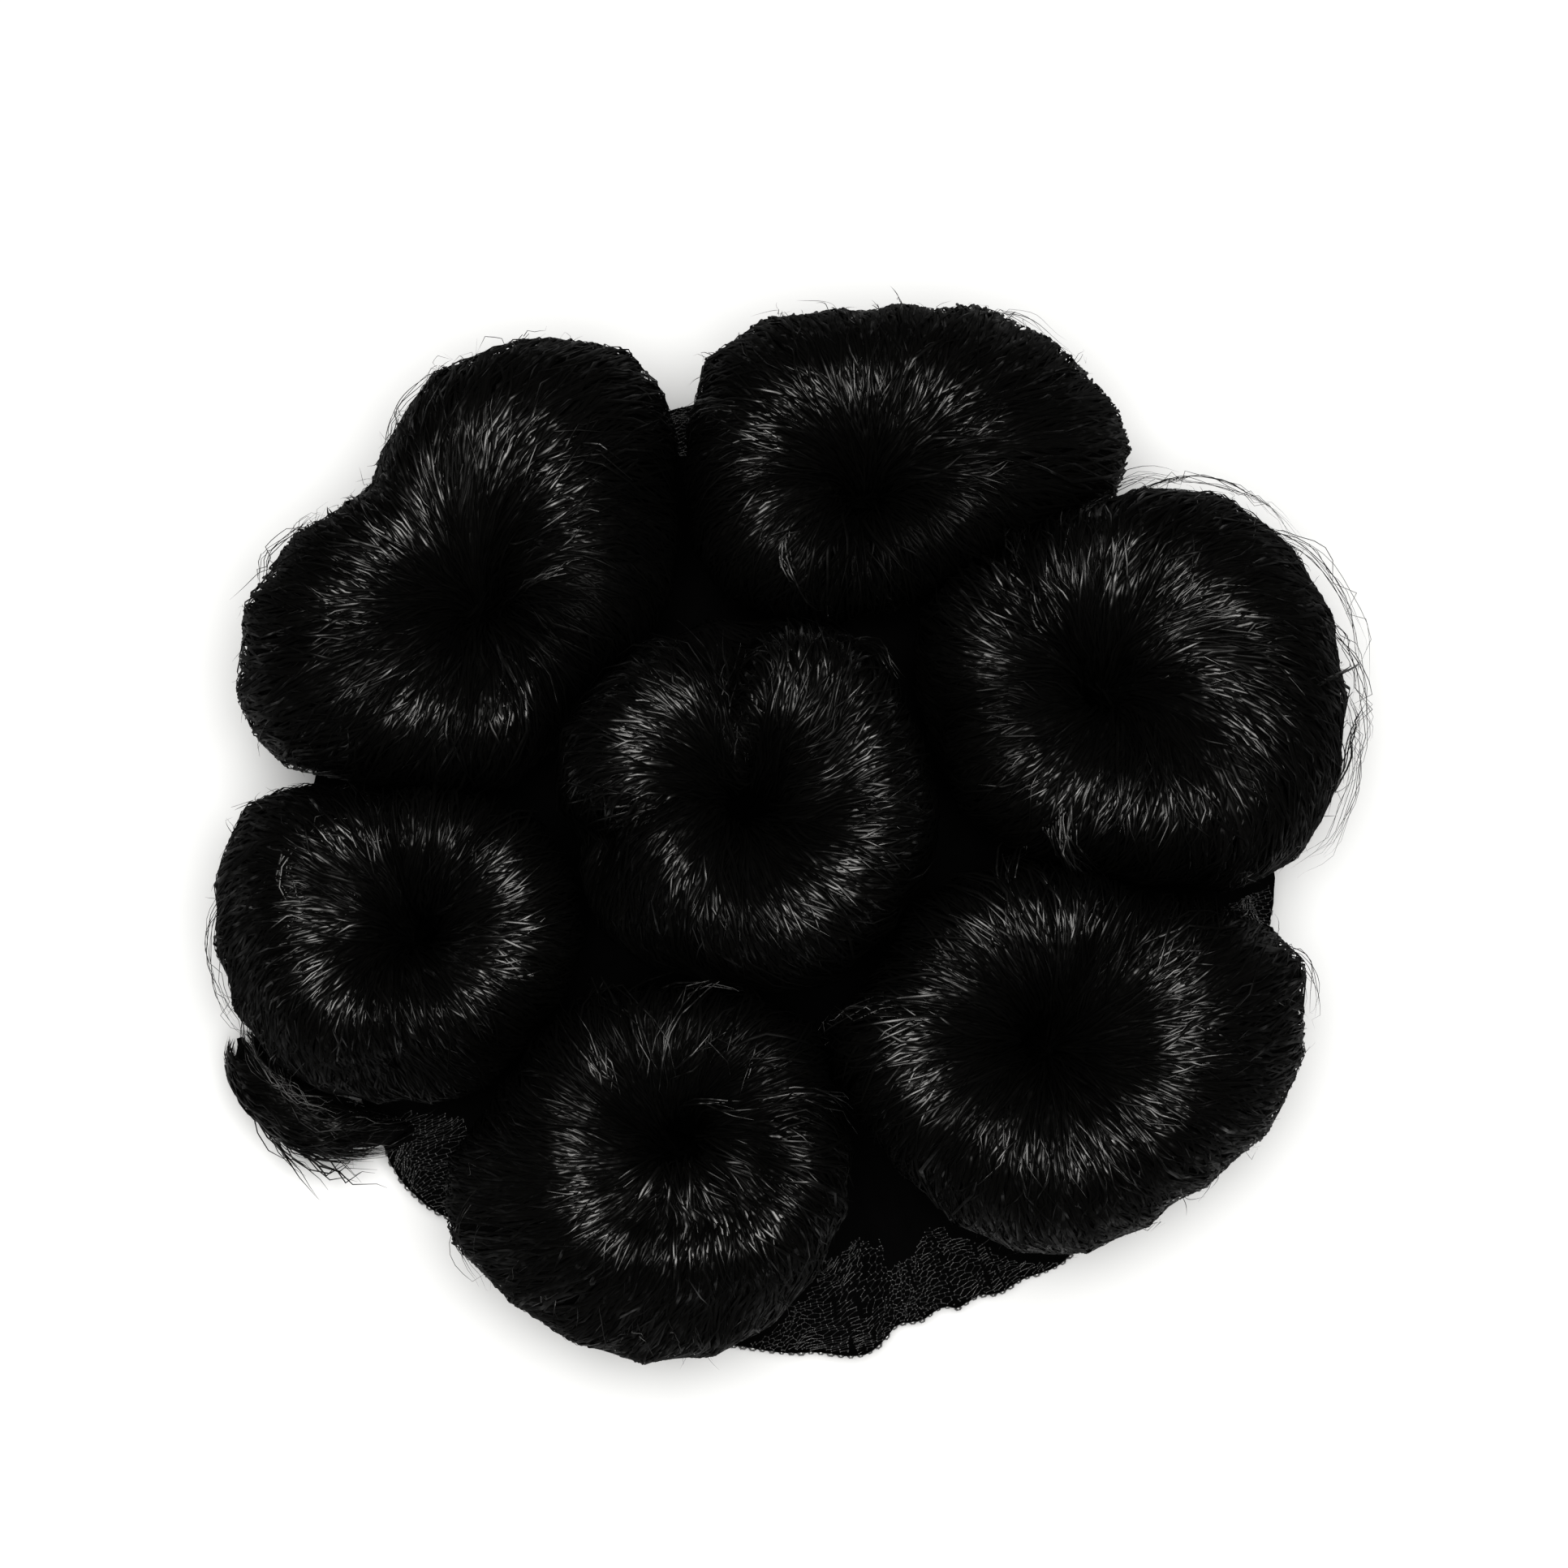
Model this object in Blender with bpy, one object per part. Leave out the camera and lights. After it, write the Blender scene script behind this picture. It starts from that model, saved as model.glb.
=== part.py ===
"""A top knot hairpiece: seven rolled curls of hair and one tucked tail, sewn on a gathered net cap.

Metres, +Z up. The rim of the cap rests on Z = 0, +Y is the back of the piece and +X its right side.
"""

import math
from collections import namedtuple

import bmesh
import bpy
import numpy as np

# Net cap
RIM_RADIUS = 0.066
CAP_RISE = 0.020
NET_WALL = 0.001
GATHER_COUNT = 18
GATHER_DEPTH = 0.0005
PUFF_START = 0.70
# Band along the cap's edge
BAND_WIDTH = 0.003
BAND_HEIGHT = 0.003
BAND_CHAMFER = 0.0008
# Curls
STAND_RADIUS = 0.052
CREST_RADIUS = 0.017
CURL_REACH = 0.030
CURL_HEIGHT = 0.0295
THROAT_RADIUS = 0.0045
ROOT_PAD = 0.004
LEAST_FLANK = 0.003
LOCK_RIDGE = 0.0007
SEAM_DEPTH = 0.0035
SEAM_ANGLE = math.radians(11)
# Tucked tail
TAIL_HEIGHT = 0.010
# Clearances
SEW_GAP = 0.0005
CURL_GAP = 0.0006
HAIR_OVER_FLOOR = 0.0045

# Shares: how far a crest follows the cap's slope, how high a curl is widest, how far its root leans inwards,
# how deep its inner wall rolls, and how far in its foot is tucked
CREST_FOLLOWS_CAP = 0.45
WIDEST_LEVEL = 0.46
ROOT_LEAN = 0.08
ROLL_DEPTH = 0.58
FOOT_TUCK = 0.55

CAP_SEGMENTS = 72
CAP_RINGS = 8
CURL_SEGMENTS = 36
TAIL_SECTIONS = 14
TAIL_SIDES = 10
SQUEEZE = 12

# Folds of the cap near its rim: where and how wide in degrees, how far out as a share of the rim's radius, and
# how high the net puffs up as a share of the cap's rise
Fold = namedtuple("Fold", "at width out puff")
FOLDS = (
    Fold(at=-84, width=7, out=0.020, puff=0.34),
    Fold(at=-74, width=3, out=-0.026, puff=-0.05),
    Fold(at=-64, width=6, out=-0.020, puff=0.08),
    Fold(at=-140, width=9, out=0.020, puff=0.10),
    Fold(at=-6, width=7, out=0.010, puff=0.0),
    Fold(at=79, width=8, out=0.015, puff=0.06),
)

# Curls: the middle of the crest as shares of STAND_RADIUS, the height as a share of CURL_HEIGHT, where the
# roll's end shows, and the crest's radius and the outline's reach as shares of CREST_RADIUS and CURL_REACH,
# each to the E, NE, N, NW, W, SW, S and SE
Curl = namedtuple("Curl", "name x y height seam crest reach")
CURLS = (
    Curl("curl_center", -0.108, 0.027, 1.04, 190,
         (1.08, 1.17, 1.06, 1.12, 1.12, 0.92, 1.17, 1.16),
         (0.90, 0.90, 0.90, 0.86, 0.90, 0.88, 0.86, 0.92)),
    Curl("curl_top_left", -0.800, 0.608, 1.00, 322,
         (1.00, 1.16, 1.34, 0.86, 1.03, 1.20, 1.28, 1.00),
         (0.98, 1.38, 1.19, 0.74, 1.04, 1.18, 0.95, 0.90)),
    Curl("curl_top", 0.208, 0.906, 0.95, 262,
         (0.88, 0.84, 0.77, 0.88, 0.89, 0.96, 0.90, 0.87),
         (1.24, 1.10, 0.86, 0.96, 0.94, 0.84, 0.80, 0.95)),
    Curl("curl_right", 0.829, 0.371, 0.98, 128,
         (1.18, 0.92, 1.08, 1.20, 1.22, 1.16, 1.14, 1.26),
         (1.06, 1.08, 1.01, 0.92, 0.90, 0.90, 0.92, 1.09)),
    Curl("curl_bottom_right", 0.671, -0.556, 0.97, 60,
         (1.12, 1.16, 1.00, 1.12, 1.12, 0.88, 0.94, 1.02),
         (1.12, 1.24, 0.90, 0.88, 0.88, 0.86, 0.88, 0.87)),
    Curl("curl_bottom", -0.275, -0.823, 0.94, 20,
         (0.97, 1.02, 1.02, 1.10, 1.00, 0.98, 0.98, 1.02),
         (0.76, 0.84, 0.78, 0.84, 1.10, 0.94, 0.88, 0.80)),
    Curl("curl_left", -0.969, -0.269, 0.94, 100,
         (1.00, 0.98, 0.92, 0.94, 0.92, 0.94, 0.93, 0.98),
         (0.86, 0.86, 0.84, 0.95, 0.85, 0.76, 0.70, 0.82)),
)

# Where two curls press on each other at a slant: the turn in degrees of the plane between them
Slant = namedtuple("Slant", "one other turn")
SLANTS = (
    Slant("curl_top", "curl_right", -21),
    Slant("curl_top_left", "curl_top", -15),
)

# Tail: the curl that it lies along, the angles that it covers, and its thickness as a share of its height
Tail = namedtuple("Tail", "name host start end thickness")
TAILS = (
    Tail("tail_lock", "curl_left", 203, 270, 0.58),
)

HAIR_COLOUR = (0.008, 0.008, 0.008, 1.0)
NET_COLOUR = (0.012, 0.012, 0.013, 1.0)


def make_material(name, colour, roughness):
    material = bpy.data.materials.new(name)
    material.use_nodes = True
    shader = material.node_tree.nodes["Principled BSDF"]
    shader.inputs["Base Color"].default_value = colour
    shader.inputs["Roughness"].default_value = roughness
    shader.inputs["Metallic"].default_value = 0.0
    material.diffuse_color = colour
    return material


def loft(name, rings, material, closed=False, first_pole=None, last_pole=None):
    """A mesh through rings of points, closed on itself or ended in a fan round each pole that is given."""
    bm = bmesh.new()
    loops = [[bm.verts.new(point) for point in ring] for ring in rings]
    pairs = list(zip(loops, loops[1:]))
    if closed:
        pairs.append((loops[-1], loops[0]))
    for low, high in pairs:
        for i in range(len(low)):
            j = (i + 1) % len(low)
            bm.faces.new((low[i], low[j], high[j], high[i]))
    for pole, loop in ((first_pole, loops[0]), (last_pole, loops[-1])):
        if pole is not None:
            tip = bm.verts.new(pole)
            for i in range(len(loop)):
                bm.faces.new((tip, loop[i], loop[(i + 1) % len(loop)]))
    bmesh.ops.recalc_face_normals(bm, faces=bm.faces)
    mesh = bpy.data.meshes.new(name)
    bm.to_mesh(mesh)
    bm.free()
    mesh.shade_smooth()
    mesh.materials.append(material)
    piece = bpy.data.objects.new(name, mesh)
    bpy.context.scene.collection.objects.link(piece)
    return piece


def turn_to(angle, target):
    """The signed turn in radians from target to angle, from -pi to pi."""
    return np.angle(np.exp(1j * (angle - target)))


def round_the_compass(shares, angle):
    """A smooth closed curve through equally spaced shares, the first at angle 0."""
    count = len(shares)
    place = np.mod(angle, 2 * math.pi) / (2 * math.pi) * count
    whole = np.floor(place).astype(int)
    t = place - whole
    before, start, end, after = (np.asarray(shares)[(whole + step) % count] for step in (-1, 0, 1, 2))
    slope = (end - before) / 2
    next_slope = (after - start) / 2
    return ((2 * t**3 - 3 * t**2 + 1) * start + (t**3 - 2 * t**2 + t) * slope
            + (3 * t**2 - 2 * t**3) * end + (t**3 - t**2) * next_slope)


def least_of(*lengths):
    """A smooth minimum, never more than the smallest length."""
    return sum(length ** -SQUEEZE for length in lengths) ** (-1 / SQUEEZE)


def fold_strength(fold, angle):
    """How much of a fold is felt at an angle, 1 at its middle."""
    bend = turn_to(angle, math.radians(fold.at)) / math.radians(fold.width)
    return np.exp(-bend**2)


def rim_reach(angle):
    """How far the cap's edge stands out: its round, with the folds and the small gathers."""
    reach = RIM_RADIUS + GATHER_DEPTH * np.cos(GATHER_COUNT * angle)
    for fold in FOLDS:
        reach = reach + RIM_RADIUS * fold.out * fold_strength(fold, angle)
    return reach


def cap_section(angle, share):
    """Radius and height of the cap's outer face, from the crown at share 0 to the rim at 1."""
    radius = RIM_RADIUS * share + (rim_reach(angle) - RIM_RADIUS) * share**4
    height = BAND_HEIGHT + SEW_GAP + NET_WALL + CAP_RISE * (1 - share**2)
    for fold in FOLDS:
        height = height + CAP_RISE * fold.puff * fold_strength(fold, angle) * puff_section(share)
    return radius, height


def puff_section(share):
    """How a fold's puff swells from the cap's shoulder and sinks again to its rim, 1 at its highest."""
    return np.sin(math.pi * np.clip((share - PUFF_START) / (1 - PUFF_START), 0, 1)) ** 2


def cap_height(x, y):
    """Height of the cap's outer face over a point of the plan, and of its rim beyond the edge."""
    shares = np.linspace(0, 1, 4 * CAP_RINGS + 1)
    radii, heights = cap_section(math.atan2(y, x), shares)
    return float(np.interp(math.hypot(x, y), radii, heights))


def seat_height(x, y):
    """The lowest that hair may lie over a point of the plan: on the cap, or clear of the floor beyond it."""
    return max(cap_height(x, y) + SEW_GAP, HAIR_OVER_FLOOR)


def centre_of(curl):
    return np.array((curl.x, curl.y)) * STAND_RADIUS


def free_crest(curl, angle):
    return CREST_RADIUS * round_the_compass(curl.crest, angle)


def slant_between(curl, other):
    for slant in SLANTS:
        if {slant.one, slant.other} == {curl.name, other.name}:
            return math.radians(slant.turn)
    return 0.0


def outline_reach(curl, angle):
    """How far a curl's outline reaches: as far as its hair does, or to the plane that it shares with a neighbour."""
    limits = [CURL_REACH * round_the_compass(curl.reach, angle)]
    for other in CURLS:
        if other is curl:
            continue
        across = centre_of(other) - centre_of(curl)
        distance = math.hypot(*across)
        bearing = math.atan2(across[1], across[0])
        own = free_crest(curl, bearing)
        theirs = free_crest(other, bearing + math.pi)
        turn = slant_between(curl, other)
        wall = distance * own / (own + theirs) * math.cos(turn) - CURL_GAP / 2
        facing = np.cos(angle - bearing - turn)
        limits.append(np.where(facing > 0.1, wall / np.maximum(facing, 0.1), 10 * distance))
    return least_of(*limits)


def curl_rings(curl):
    """The rings of a curl, from its root up the funnel, over the crest, down the outside and in under the foot."""
    centre = centre_of(curl)
    angles = np.arange(CURL_SEGMENTS) * 2 * math.pi / CURL_SEGMENTS
    seam = np.exp(-(turn_to(angles, math.radians(curl.seam)) / SEAM_ANGLE) ** 2) * SEAM_DEPTH
    ridge = LOCK_RIDGE * (np.arange(CURL_SEGMENTS) % 2) * (1 + 0.4 * np.sin(5 * angles + 9 * curl.x))
    outline = outline_reach(curl, angles) - ridge - 0.5 * seam
    crest = least_of(free_crest(curl, angles), outline - LEAST_FLANK)
    throat = least_of(np.full(CURL_SEGMENTS, THROAT_RADIUS), 0.6 * crest)
    base = cap_height(*centre)
    root = centre * (1 - ROOT_LEAN)
    root_level = seat_height(*root) + ROOT_PAD

    columns = []
    for i, angle in enumerate(angles):
        heading = np.array((math.cos(angle), math.sin(angle)))
        foot = crest[i] + (outline[i] - crest[i]) * FOOT_TUCK
        over_crest = cap_height(*(centre + heading * crest[i]))
        top = base + CURL_HEIGHT * curl.height + CREST_FOLLOWS_CAP * (over_crest - base) - ridge[i] - seam[i]
        low = seat_height(*(centre + heading * foot))
        widest = low + (top - low) * WIDEST_LEVEL
        mouth = top - (top - root_level) * ROLL_DEPTH
        columns.append(curl_column(centre, root, heading, crest[i], throat[i], outline[i],
                                   root_level, mouth, top, widest, low))
    return root, root_level, list(zip(*columns))


def curl_column(centre, root, heading, crest, throat, outline, root_level, mouth, top, widest, low):
    """One column of a curl's points, all in the upright plane that heads away from its middle."""

    def place(radius, height):
        sunk = max(0.0, (top - height) / (top - root_level)) if radius < crest else 0.0
        return *(centre + (root - centre) * sunk + heading * radius), height

    def seated(radius):
        point = centre + heading * radius
        return *point, seat_height(*point)

    column = [place(0.55 * throat, root_level), place(0.95 * throat, root_level + 0.35 * (mouth - root_level))]
    for turn in (180, 155, 132, 110, 90):
        bend = math.radians(turn)
        column.append(place(crest + (crest - throat) * math.cos(bend), mouth + (top - mouth) * math.sin(bend)))
    for turn in (68, 46, 23, 0, -28, -56):
        bend = math.radians(turn)
        drop = top - widest if turn > 0 else widest - low
        x, y, height = place(crest + (outline - crest) * math.cos(bend), widest + drop * math.sin(bend))
        column.append((x, y, max(height, seat_height(x, y))))
    column += [seated(0.78 * crest), seated(0.38 * crest)]
    return column


def make_curl(curl, material):
    root, root_level, rings = curl_rings(curl)
    centre = centre_of(curl)
    return loft(curl.name, rings, material,
                first_pole=(*root, root_level), last_pole=(*centre, seat_height(*centre)))


def make_tail(tail, material):
    """A tucked end of hair, thick in its middle and tapered to both ends, that lies along a curl's foot."""
    host = next(curl for curl in CURLS if curl.name == tail.host)
    centre = centre_of(host)
    half_width = TAIL_HEIGHT * tail.thickness / 2
    rings = []
    for along in np.linspace(0, 1, TAIL_SECTIONS):
        angle = math.radians(tail.start + (tail.end - tail.start) * along)
        heading = np.array((math.cos(angle), math.sin(angle)))
        fullness = math.sin(math.pi * (0.06 + 0.88 * along)) ** 0.6
        across = half_width * fullness
        middle = float(outline_reach(host, np.array([angle]))[0]) + CURL_GAP + across
        rise = TAIL_HEIGHT / 2 * fullness
        level = seat_height(*(centre + heading * middle)) + rise
        ring = []
        for side in range(TAIL_SIDES):
            turn = 2 * math.pi * side / TAIL_SIDES
            x, y = centre + heading * (middle + across * math.cos(turn))
            ring.append((x, y, max(level + rise * math.sin(turn), seat_height(x, y))))
        rings.append(ring)
    ends = [np.mean(np.array(ring), axis=0) for ring in (rings[0], rings[-1])]
    return loft(tail.name, rings, material, first_pole=ends[0], last_pole=ends[1])


def make_cap(material):
    """The net cap: its outer face from the crown to the gathered rim, thickened inwards by the net's wall."""
    angles = np.arange(CAP_SEGMENTS) * 2 * math.pi / CAP_SEGMENTS
    rings = []
    for step in range(1, CAP_RINGS + 1):
        radii, heights = cap_section(angles, step / CAP_RINGS)
        heights = np.full(CAP_SEGMENTS, heights)
        rings.append(np.stack((radii * np.cos(angles), radii * np.sin(angles), heights), axis=1))
    crown = (0, 0, cap_section(0.0, 0.0)[1])
    cap = loft("net_cap", rings, material, first_pole=crown)
    wall = cap.modifiers.new("wall", "SOLIDIFY")
    wall.thickness = NET_WALL
    wall.offset = -1
    return cap


def make_band(material):
    """The band along the rim, with a flat underside that the piece rests on."""
    half = BAND_WIDTH / 2
    inset = half - BAND_CHAMFER
    section = (
        (inset, 0), (half, BAND_CHAMFER), (half, BAND_HEIGHT - BAND_CHAMFER),
        (inset, BAND_HEIGHT), (-inset, BAND_HEIGHT), (-half, BAND_HEIGHT - BAND_CHAMFER),
        (-half, BAND_CHAMFER), (-inset, 0),
    )
    angles = np.arange(CAP_SEGMENTS) * 2 * math.pi / CAP_SEGMENTS
    reach = rim_reach(angles) - half
    rings = []
    for out, height in section:
        level = np.full(CAP_SEGMENTS, height)
        rings.append(np.stack(((reach + out) * np.cos(angles), (reach + out) * np.sin(angles), level), axis=1))
    return loft("rim_band", rings, material, closed=True)


def stand_on_origin(pieces):
    """Parents the pieces to one empty, placed so that the middle of their footprint is the origin."""
    corners = np.array([vertex.co for piece in pieces for vertex in piece.data.vertices])
    middle = (corners.min(axis=0) + corners.max(axis=0)) / 2
    stand = bpy.data.objects.new("hairpiece", None)
    bpy.context.scene.collection.objects.link(stand)
    stand.location = (-middle[0], -middle[1], 0)
    for piece in pieces:
        piece.parent = stand


def build():
    for old in list(bpy.data.objects):
        bpy.data.objects.remove(old)
    hair = make_material("black hair", HAIR_COLOUR, 0.35)
    net = make_material("black net", NET_COLOUR, 0.55)
    pieces = [make_cap(net), make_band(net)]
    pieces += [make_curl(curl, hair) for curl in CURLS]
    pieces += [make_tail(tail, hair) for tail in TAILS]
    stand_on_origin(pieces)


build()
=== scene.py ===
# Top knot hairpiece: combed strands over seven rolled curls, a tucked lock, loose hairs and a knitted net cap
import math

import bmesh
import bpy
import numpy as np
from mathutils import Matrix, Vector
from mathutils.bvhtree import BVHTree


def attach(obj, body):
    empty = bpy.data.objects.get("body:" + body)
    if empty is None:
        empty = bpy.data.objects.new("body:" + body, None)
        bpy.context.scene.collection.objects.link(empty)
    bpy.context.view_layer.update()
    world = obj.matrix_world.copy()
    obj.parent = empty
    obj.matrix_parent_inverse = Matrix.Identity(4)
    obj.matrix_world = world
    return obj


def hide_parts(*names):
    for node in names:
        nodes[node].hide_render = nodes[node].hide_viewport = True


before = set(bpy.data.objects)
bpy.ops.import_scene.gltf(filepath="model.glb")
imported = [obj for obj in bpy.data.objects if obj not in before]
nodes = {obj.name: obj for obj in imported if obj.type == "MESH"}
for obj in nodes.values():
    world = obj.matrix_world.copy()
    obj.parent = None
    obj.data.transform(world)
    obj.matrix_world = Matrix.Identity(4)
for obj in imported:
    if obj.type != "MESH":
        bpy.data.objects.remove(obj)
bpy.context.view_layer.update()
millimetre = 0.001
circle = 2 * math.pi
waveTurn = 6.283  # one wave of a strand, in radians
planWidth = 0.16  # what a baked map of the plan spans


# One wire for sums on sockets, and one board that puts nodes down

class Wire:
    def __init__(self, board, socket):
        self.board = board
        self.socket = socket

    def sum(self, operation, *others):
        return self.board.math(operation, self, *others)

    def held(self, low, high):
        return self.sum("MAXIMUM", low).sum("MINIMUM", high)

    def __add__(self, other):
        return self.sum("ADD", other)

    def __sub__(self, other):
        return self.sum("SUBTRACT", other)

    def __mul__(self, other):
        return self.sum("MULTIPLY", other)

    def __truediv__(self, other):
        return self.sum("DIVIDE", other)

    def __rsub__(self, other):
        return self.board.math("SUBTRACT", other, self)

    def __rtruediv__(self, other):
        return self.board.math("DIVIDE", other, self)

    __radd__ = __add__
    __rmul__ = __mul__


class Board:
    def __init__(self, tree):
        self.tree = tree

    def put(self, kind, settings=None, values=None):
        node = self.tree.nodes.new(kind)
        for name, value in (settings or {}).items():
            setattr(node, name, value)
        for name, value in (values or {}).items():
            socket = node.inputs[name] if isinstance(name, int) else next(
                one for one in node.inputs if one.enabled and name in (one.identifier, one.name))
            if isinstance(value, Wire):
                self.tree.links.new(value.socket, socket)
            else:
                socket.default_value = value
        return node

    def wire(self, kind, settings=None, values=None, output=None):
        found = self.put(kind, settings, values).outputs
        return Wire(self, next(one for one in found if one.enabled and output in (None, one.name)))

    def math(self, operation, *parts):
        return self.wire("ShaderNodeMath", {"operation": operation}, dict(enumerate(parts)))

    def logic(self, operation, *parts):
        return self.wire("FunctionNodeBooleanMath", {"operation": operation}, dict(enumerate(parts)))

    def vector(self, operation, *parts):
        return self.wire("ShaderNodeVectorMath", {"operation": operation}, dict(enumerate(parts)))

    def scaled(self, vector, amount):
        return self.wire("ShaderNodeVectorMath", {"operation": "SCALE"}, {0: vector, "Scale": amount})

    def xyz(self, x, y, z):
        return self.wire("ShaderNodeCombineXYZ", None, {"X": x, "Y": y, "Z": z})

    def parts(self, vector):
        return [Wire(self, socket) for socket in self.put("ShaderNodeSeparateXYZ", None, {0: vector}).outputs]

    def noise(self, place, scale, detail, output=None):
        return self.wire("ShaderNodeTexNoise", None,
                         {"Vector": place, "Scale": scale, "Detail": detail}, output)

    def chance(self, low, high, seed, number=None):
        which = {} if number is None else {"ID": number}
        return self.wire("FunctionNodeRandomValue", {"data_type": "FLOAT"},
                         {"Min_001": low, "Max_001": high, "Seed": seed, **which})

    def geo(self, kind, values=None, settings=None, output=None):
        return self.wire("GeometryNode" + kind, settings, values, output)

    def named(self, name, kind="FLOAT"):
        return self.geo("InputNamedAttribute", {"Name": name}, {"data_type": kind})

    def keep(self, geometry, name, value, kind="FLOAT", domain="POINT"):
        return self.geo("StoreNamedAttribute", {"Geometry": geometry, "Name": name, "Value": value},
                        {"data_type": kind, "domain": domain})

    def arc(self, radius, sweep):
        # a bowed profile of three points, its back upwards
        sweep = math.radians(sweep)
        return self.geo("CurveArc", {"Resolution": 3, "Radius": radius, "Start Angle": -sweep / 2,
                                     "Sweep Angle": sweep}, {"mode": "RADIUS"}, "Curve")

    def facing(self, curves, normal):
        return self.geo("SetCurveNormal", {"Curve": curves, "Normal": normal}, {"mode": "FREE"})


socketKinds = {int: "Int", float: "Float", bpy.types.Material: "Material", bpy.types.Object: "Object"}


def newGrowth(name, sizes):
    # a Geometry Nodes tree with an input for each size; returns its board, input wires and output node
    tree = bpy.data.node_groups.new(name, "GeometryNodeTree")
    for way in ("INPUT", "OUTPUT"):
        tree.interface.new_socket(name="Geometry", in_out=way, socket_type="NodeSocketGeometry")
    for label, value in sizes.items():
        kind = "NodeSocket" + socketKinds[type(value)]
        tree.interface.new_socket(name=label, in_out="INPUT", socket_type=kind)
    board = Board(tree)
    entry = tree.nodes.new("NodeGroupInput")
    wires = {socket.name: Wire(board, socket) for socket in entry.outputs if socket.name}
    return board, wires, tree.nodes.new("NodeGroupOutput")


def finishGrowth(board, out, geometry, material):
    geometry = board.geo("SetShadeSmooth", {"Geometry": geometry})
    geometry = board.geo("RealizeInstances", {"Geometry": geometry})
    geometry = board.geo("SetMaterial", {"Geometry": geometry, "Material": material})
    board.tree.links.new(geometry.socket, out.inputs["Geometry"])
    return board.tree


def grow(tree, source, name, sizes):
    # runs a tree on a copy of source and returns its result as a plain mesh object
    holder = bpy.data.objects.new(name, source.data)
    bpy.context.scene.collection.objects.link(holder)
    modifier = holder.modifiers.new(name, "NODES")
    modifier.node_group = tree
    for item in tree.interface.items_tree:
        if item.in_out == "INPUT" and item.name in sizes:
            modifier[item.identifier] = sizes[item.name]
    bpy.context.view_layer.update()
    result = bpy.data.meshes.new_from_object(holder.evaluated_get(bpy.context.evaluated_depsgraph_get()))
    result.name = name
    holder.modifiers.remove(modifier)
    holder.data = result
    return holder


# Meshes: reading and writing them, joining them, and a skin through rings of points

def readAll(items, name, width, kind=np.float32):
    values = np.zeros(len(items) * width, kind)
    items.foreach_get(name, values)
    return values.reshape(-1, width)


def mark(mesh, name, kind, values):
    field = "vector" if kind == "FLOAT_VECTOR" else "value"
    values = np.ravel(values).astype(np.int32 if kind == "INT" else np.float32)
    mesh.attributes.new(name, kind, "POINT").data.foreach_set(field, values)


def newPiece(name, mesh, material=None):
    if material is not None:
        mesh.materials.append(material)
    piece = bpy.data.objects.new(name, mesh)
    bpy.context.scene.collection.objects.link(piece)
    return piece


def joined(name, parts):
    # one mesh from several, keeping their maps and finishes
    keep = parts[0]
    with bpy.context.temp_override(active_object=keep, object=keep, selected_objects=parts,
                                   selected_editable_objects=parts):
        bpy.ops.object.join()
    keep.name = name
    keep.data.name = name
    return keep


def hand(piece, node=None):
    # names a finished piece's body and the CAD node that it replaces
    if node is not None:
        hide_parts(node)
    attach(piece, "root")
    print(piece.name, "made:", sum(len(face.vertices) - 2 for face in piece.data.polygons), "triangles")


def ringSkin(name, points, maps, poles=(None, None), turned=None, closed=False):
    # it ends in a pole where one is given, or runs from its last ring on to its first; a map's rule gives
    # each corner's place from its ring, column and point; its faces are turned over where turned is True,
    # kept where it is False, and made to point outwards where it is None
    rings, columns, _ = points.shape
    bm = bmesh.new()
    layers = [(bm.loops.layers.uv.new(label), rule) for label, rule in maps.items()]
    grid = [[bm.verts.new(point) for point in ring] for ring in points]

    def lay(*corners):
        corners = corners[::-1] if turned else corners
        face = bm.faces.new([vertex for vertex, _, _ in corners])
        face.smooth = True
        for loop, (vertex, ring, column) in zip(face.loops, corners):
            for layer, rule in layers:
                loop[layer].uv = rule(ring, column, vertex.co)

    for ring in range(rings if closed else rings - 1):
        here = grid[ring]
        there = grid[(ring + 1) % rings]
        for column in range(columns):
            after = (column + 1) % columns
            lay((here[column], ring, column), (there[column], ring + 1, column),
                (there[after], ring + 1, column + 1), (here[after], ring, column + 1))
    for pole, ring, beyond in ((poles[0], 0, -1), (poles[1], rings - 1, rings)):
        if pole is None:
            continue
        tip = bm.verts.new(pole)
        for column in range(columns):
            lay((tip, beyond, column + 0.5), (grid[ring][column], ring, column),
                (grid[ring][(column + 1) % columns], ring, column + 1))
    if turned is None:
        bmesh.ops.recalc_face_normals(bm, faces=bm.faces)
    mesh = bpy.data.meshes.new(name)
    bm.to_mesh(mesh)
    bm.free()
    return mesh


# Finishes: hair varies in patches, from strand to strand and along each strand

def newFinish(name):
    material = bpy.data.materials.new(name)
    material.use_nodes = True
    board = Board(material.node_tree)
    return material, board, board.wire("ShaderNodeTexCoord", output="Object")


def toned(board, share, look):
    return board.wire("ShaderNodeMix", {"data_type": "RGBA"},
                      {"Factor_Float": share, "A_Color": look["deep"], "B_Color": look["light"]})


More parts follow.
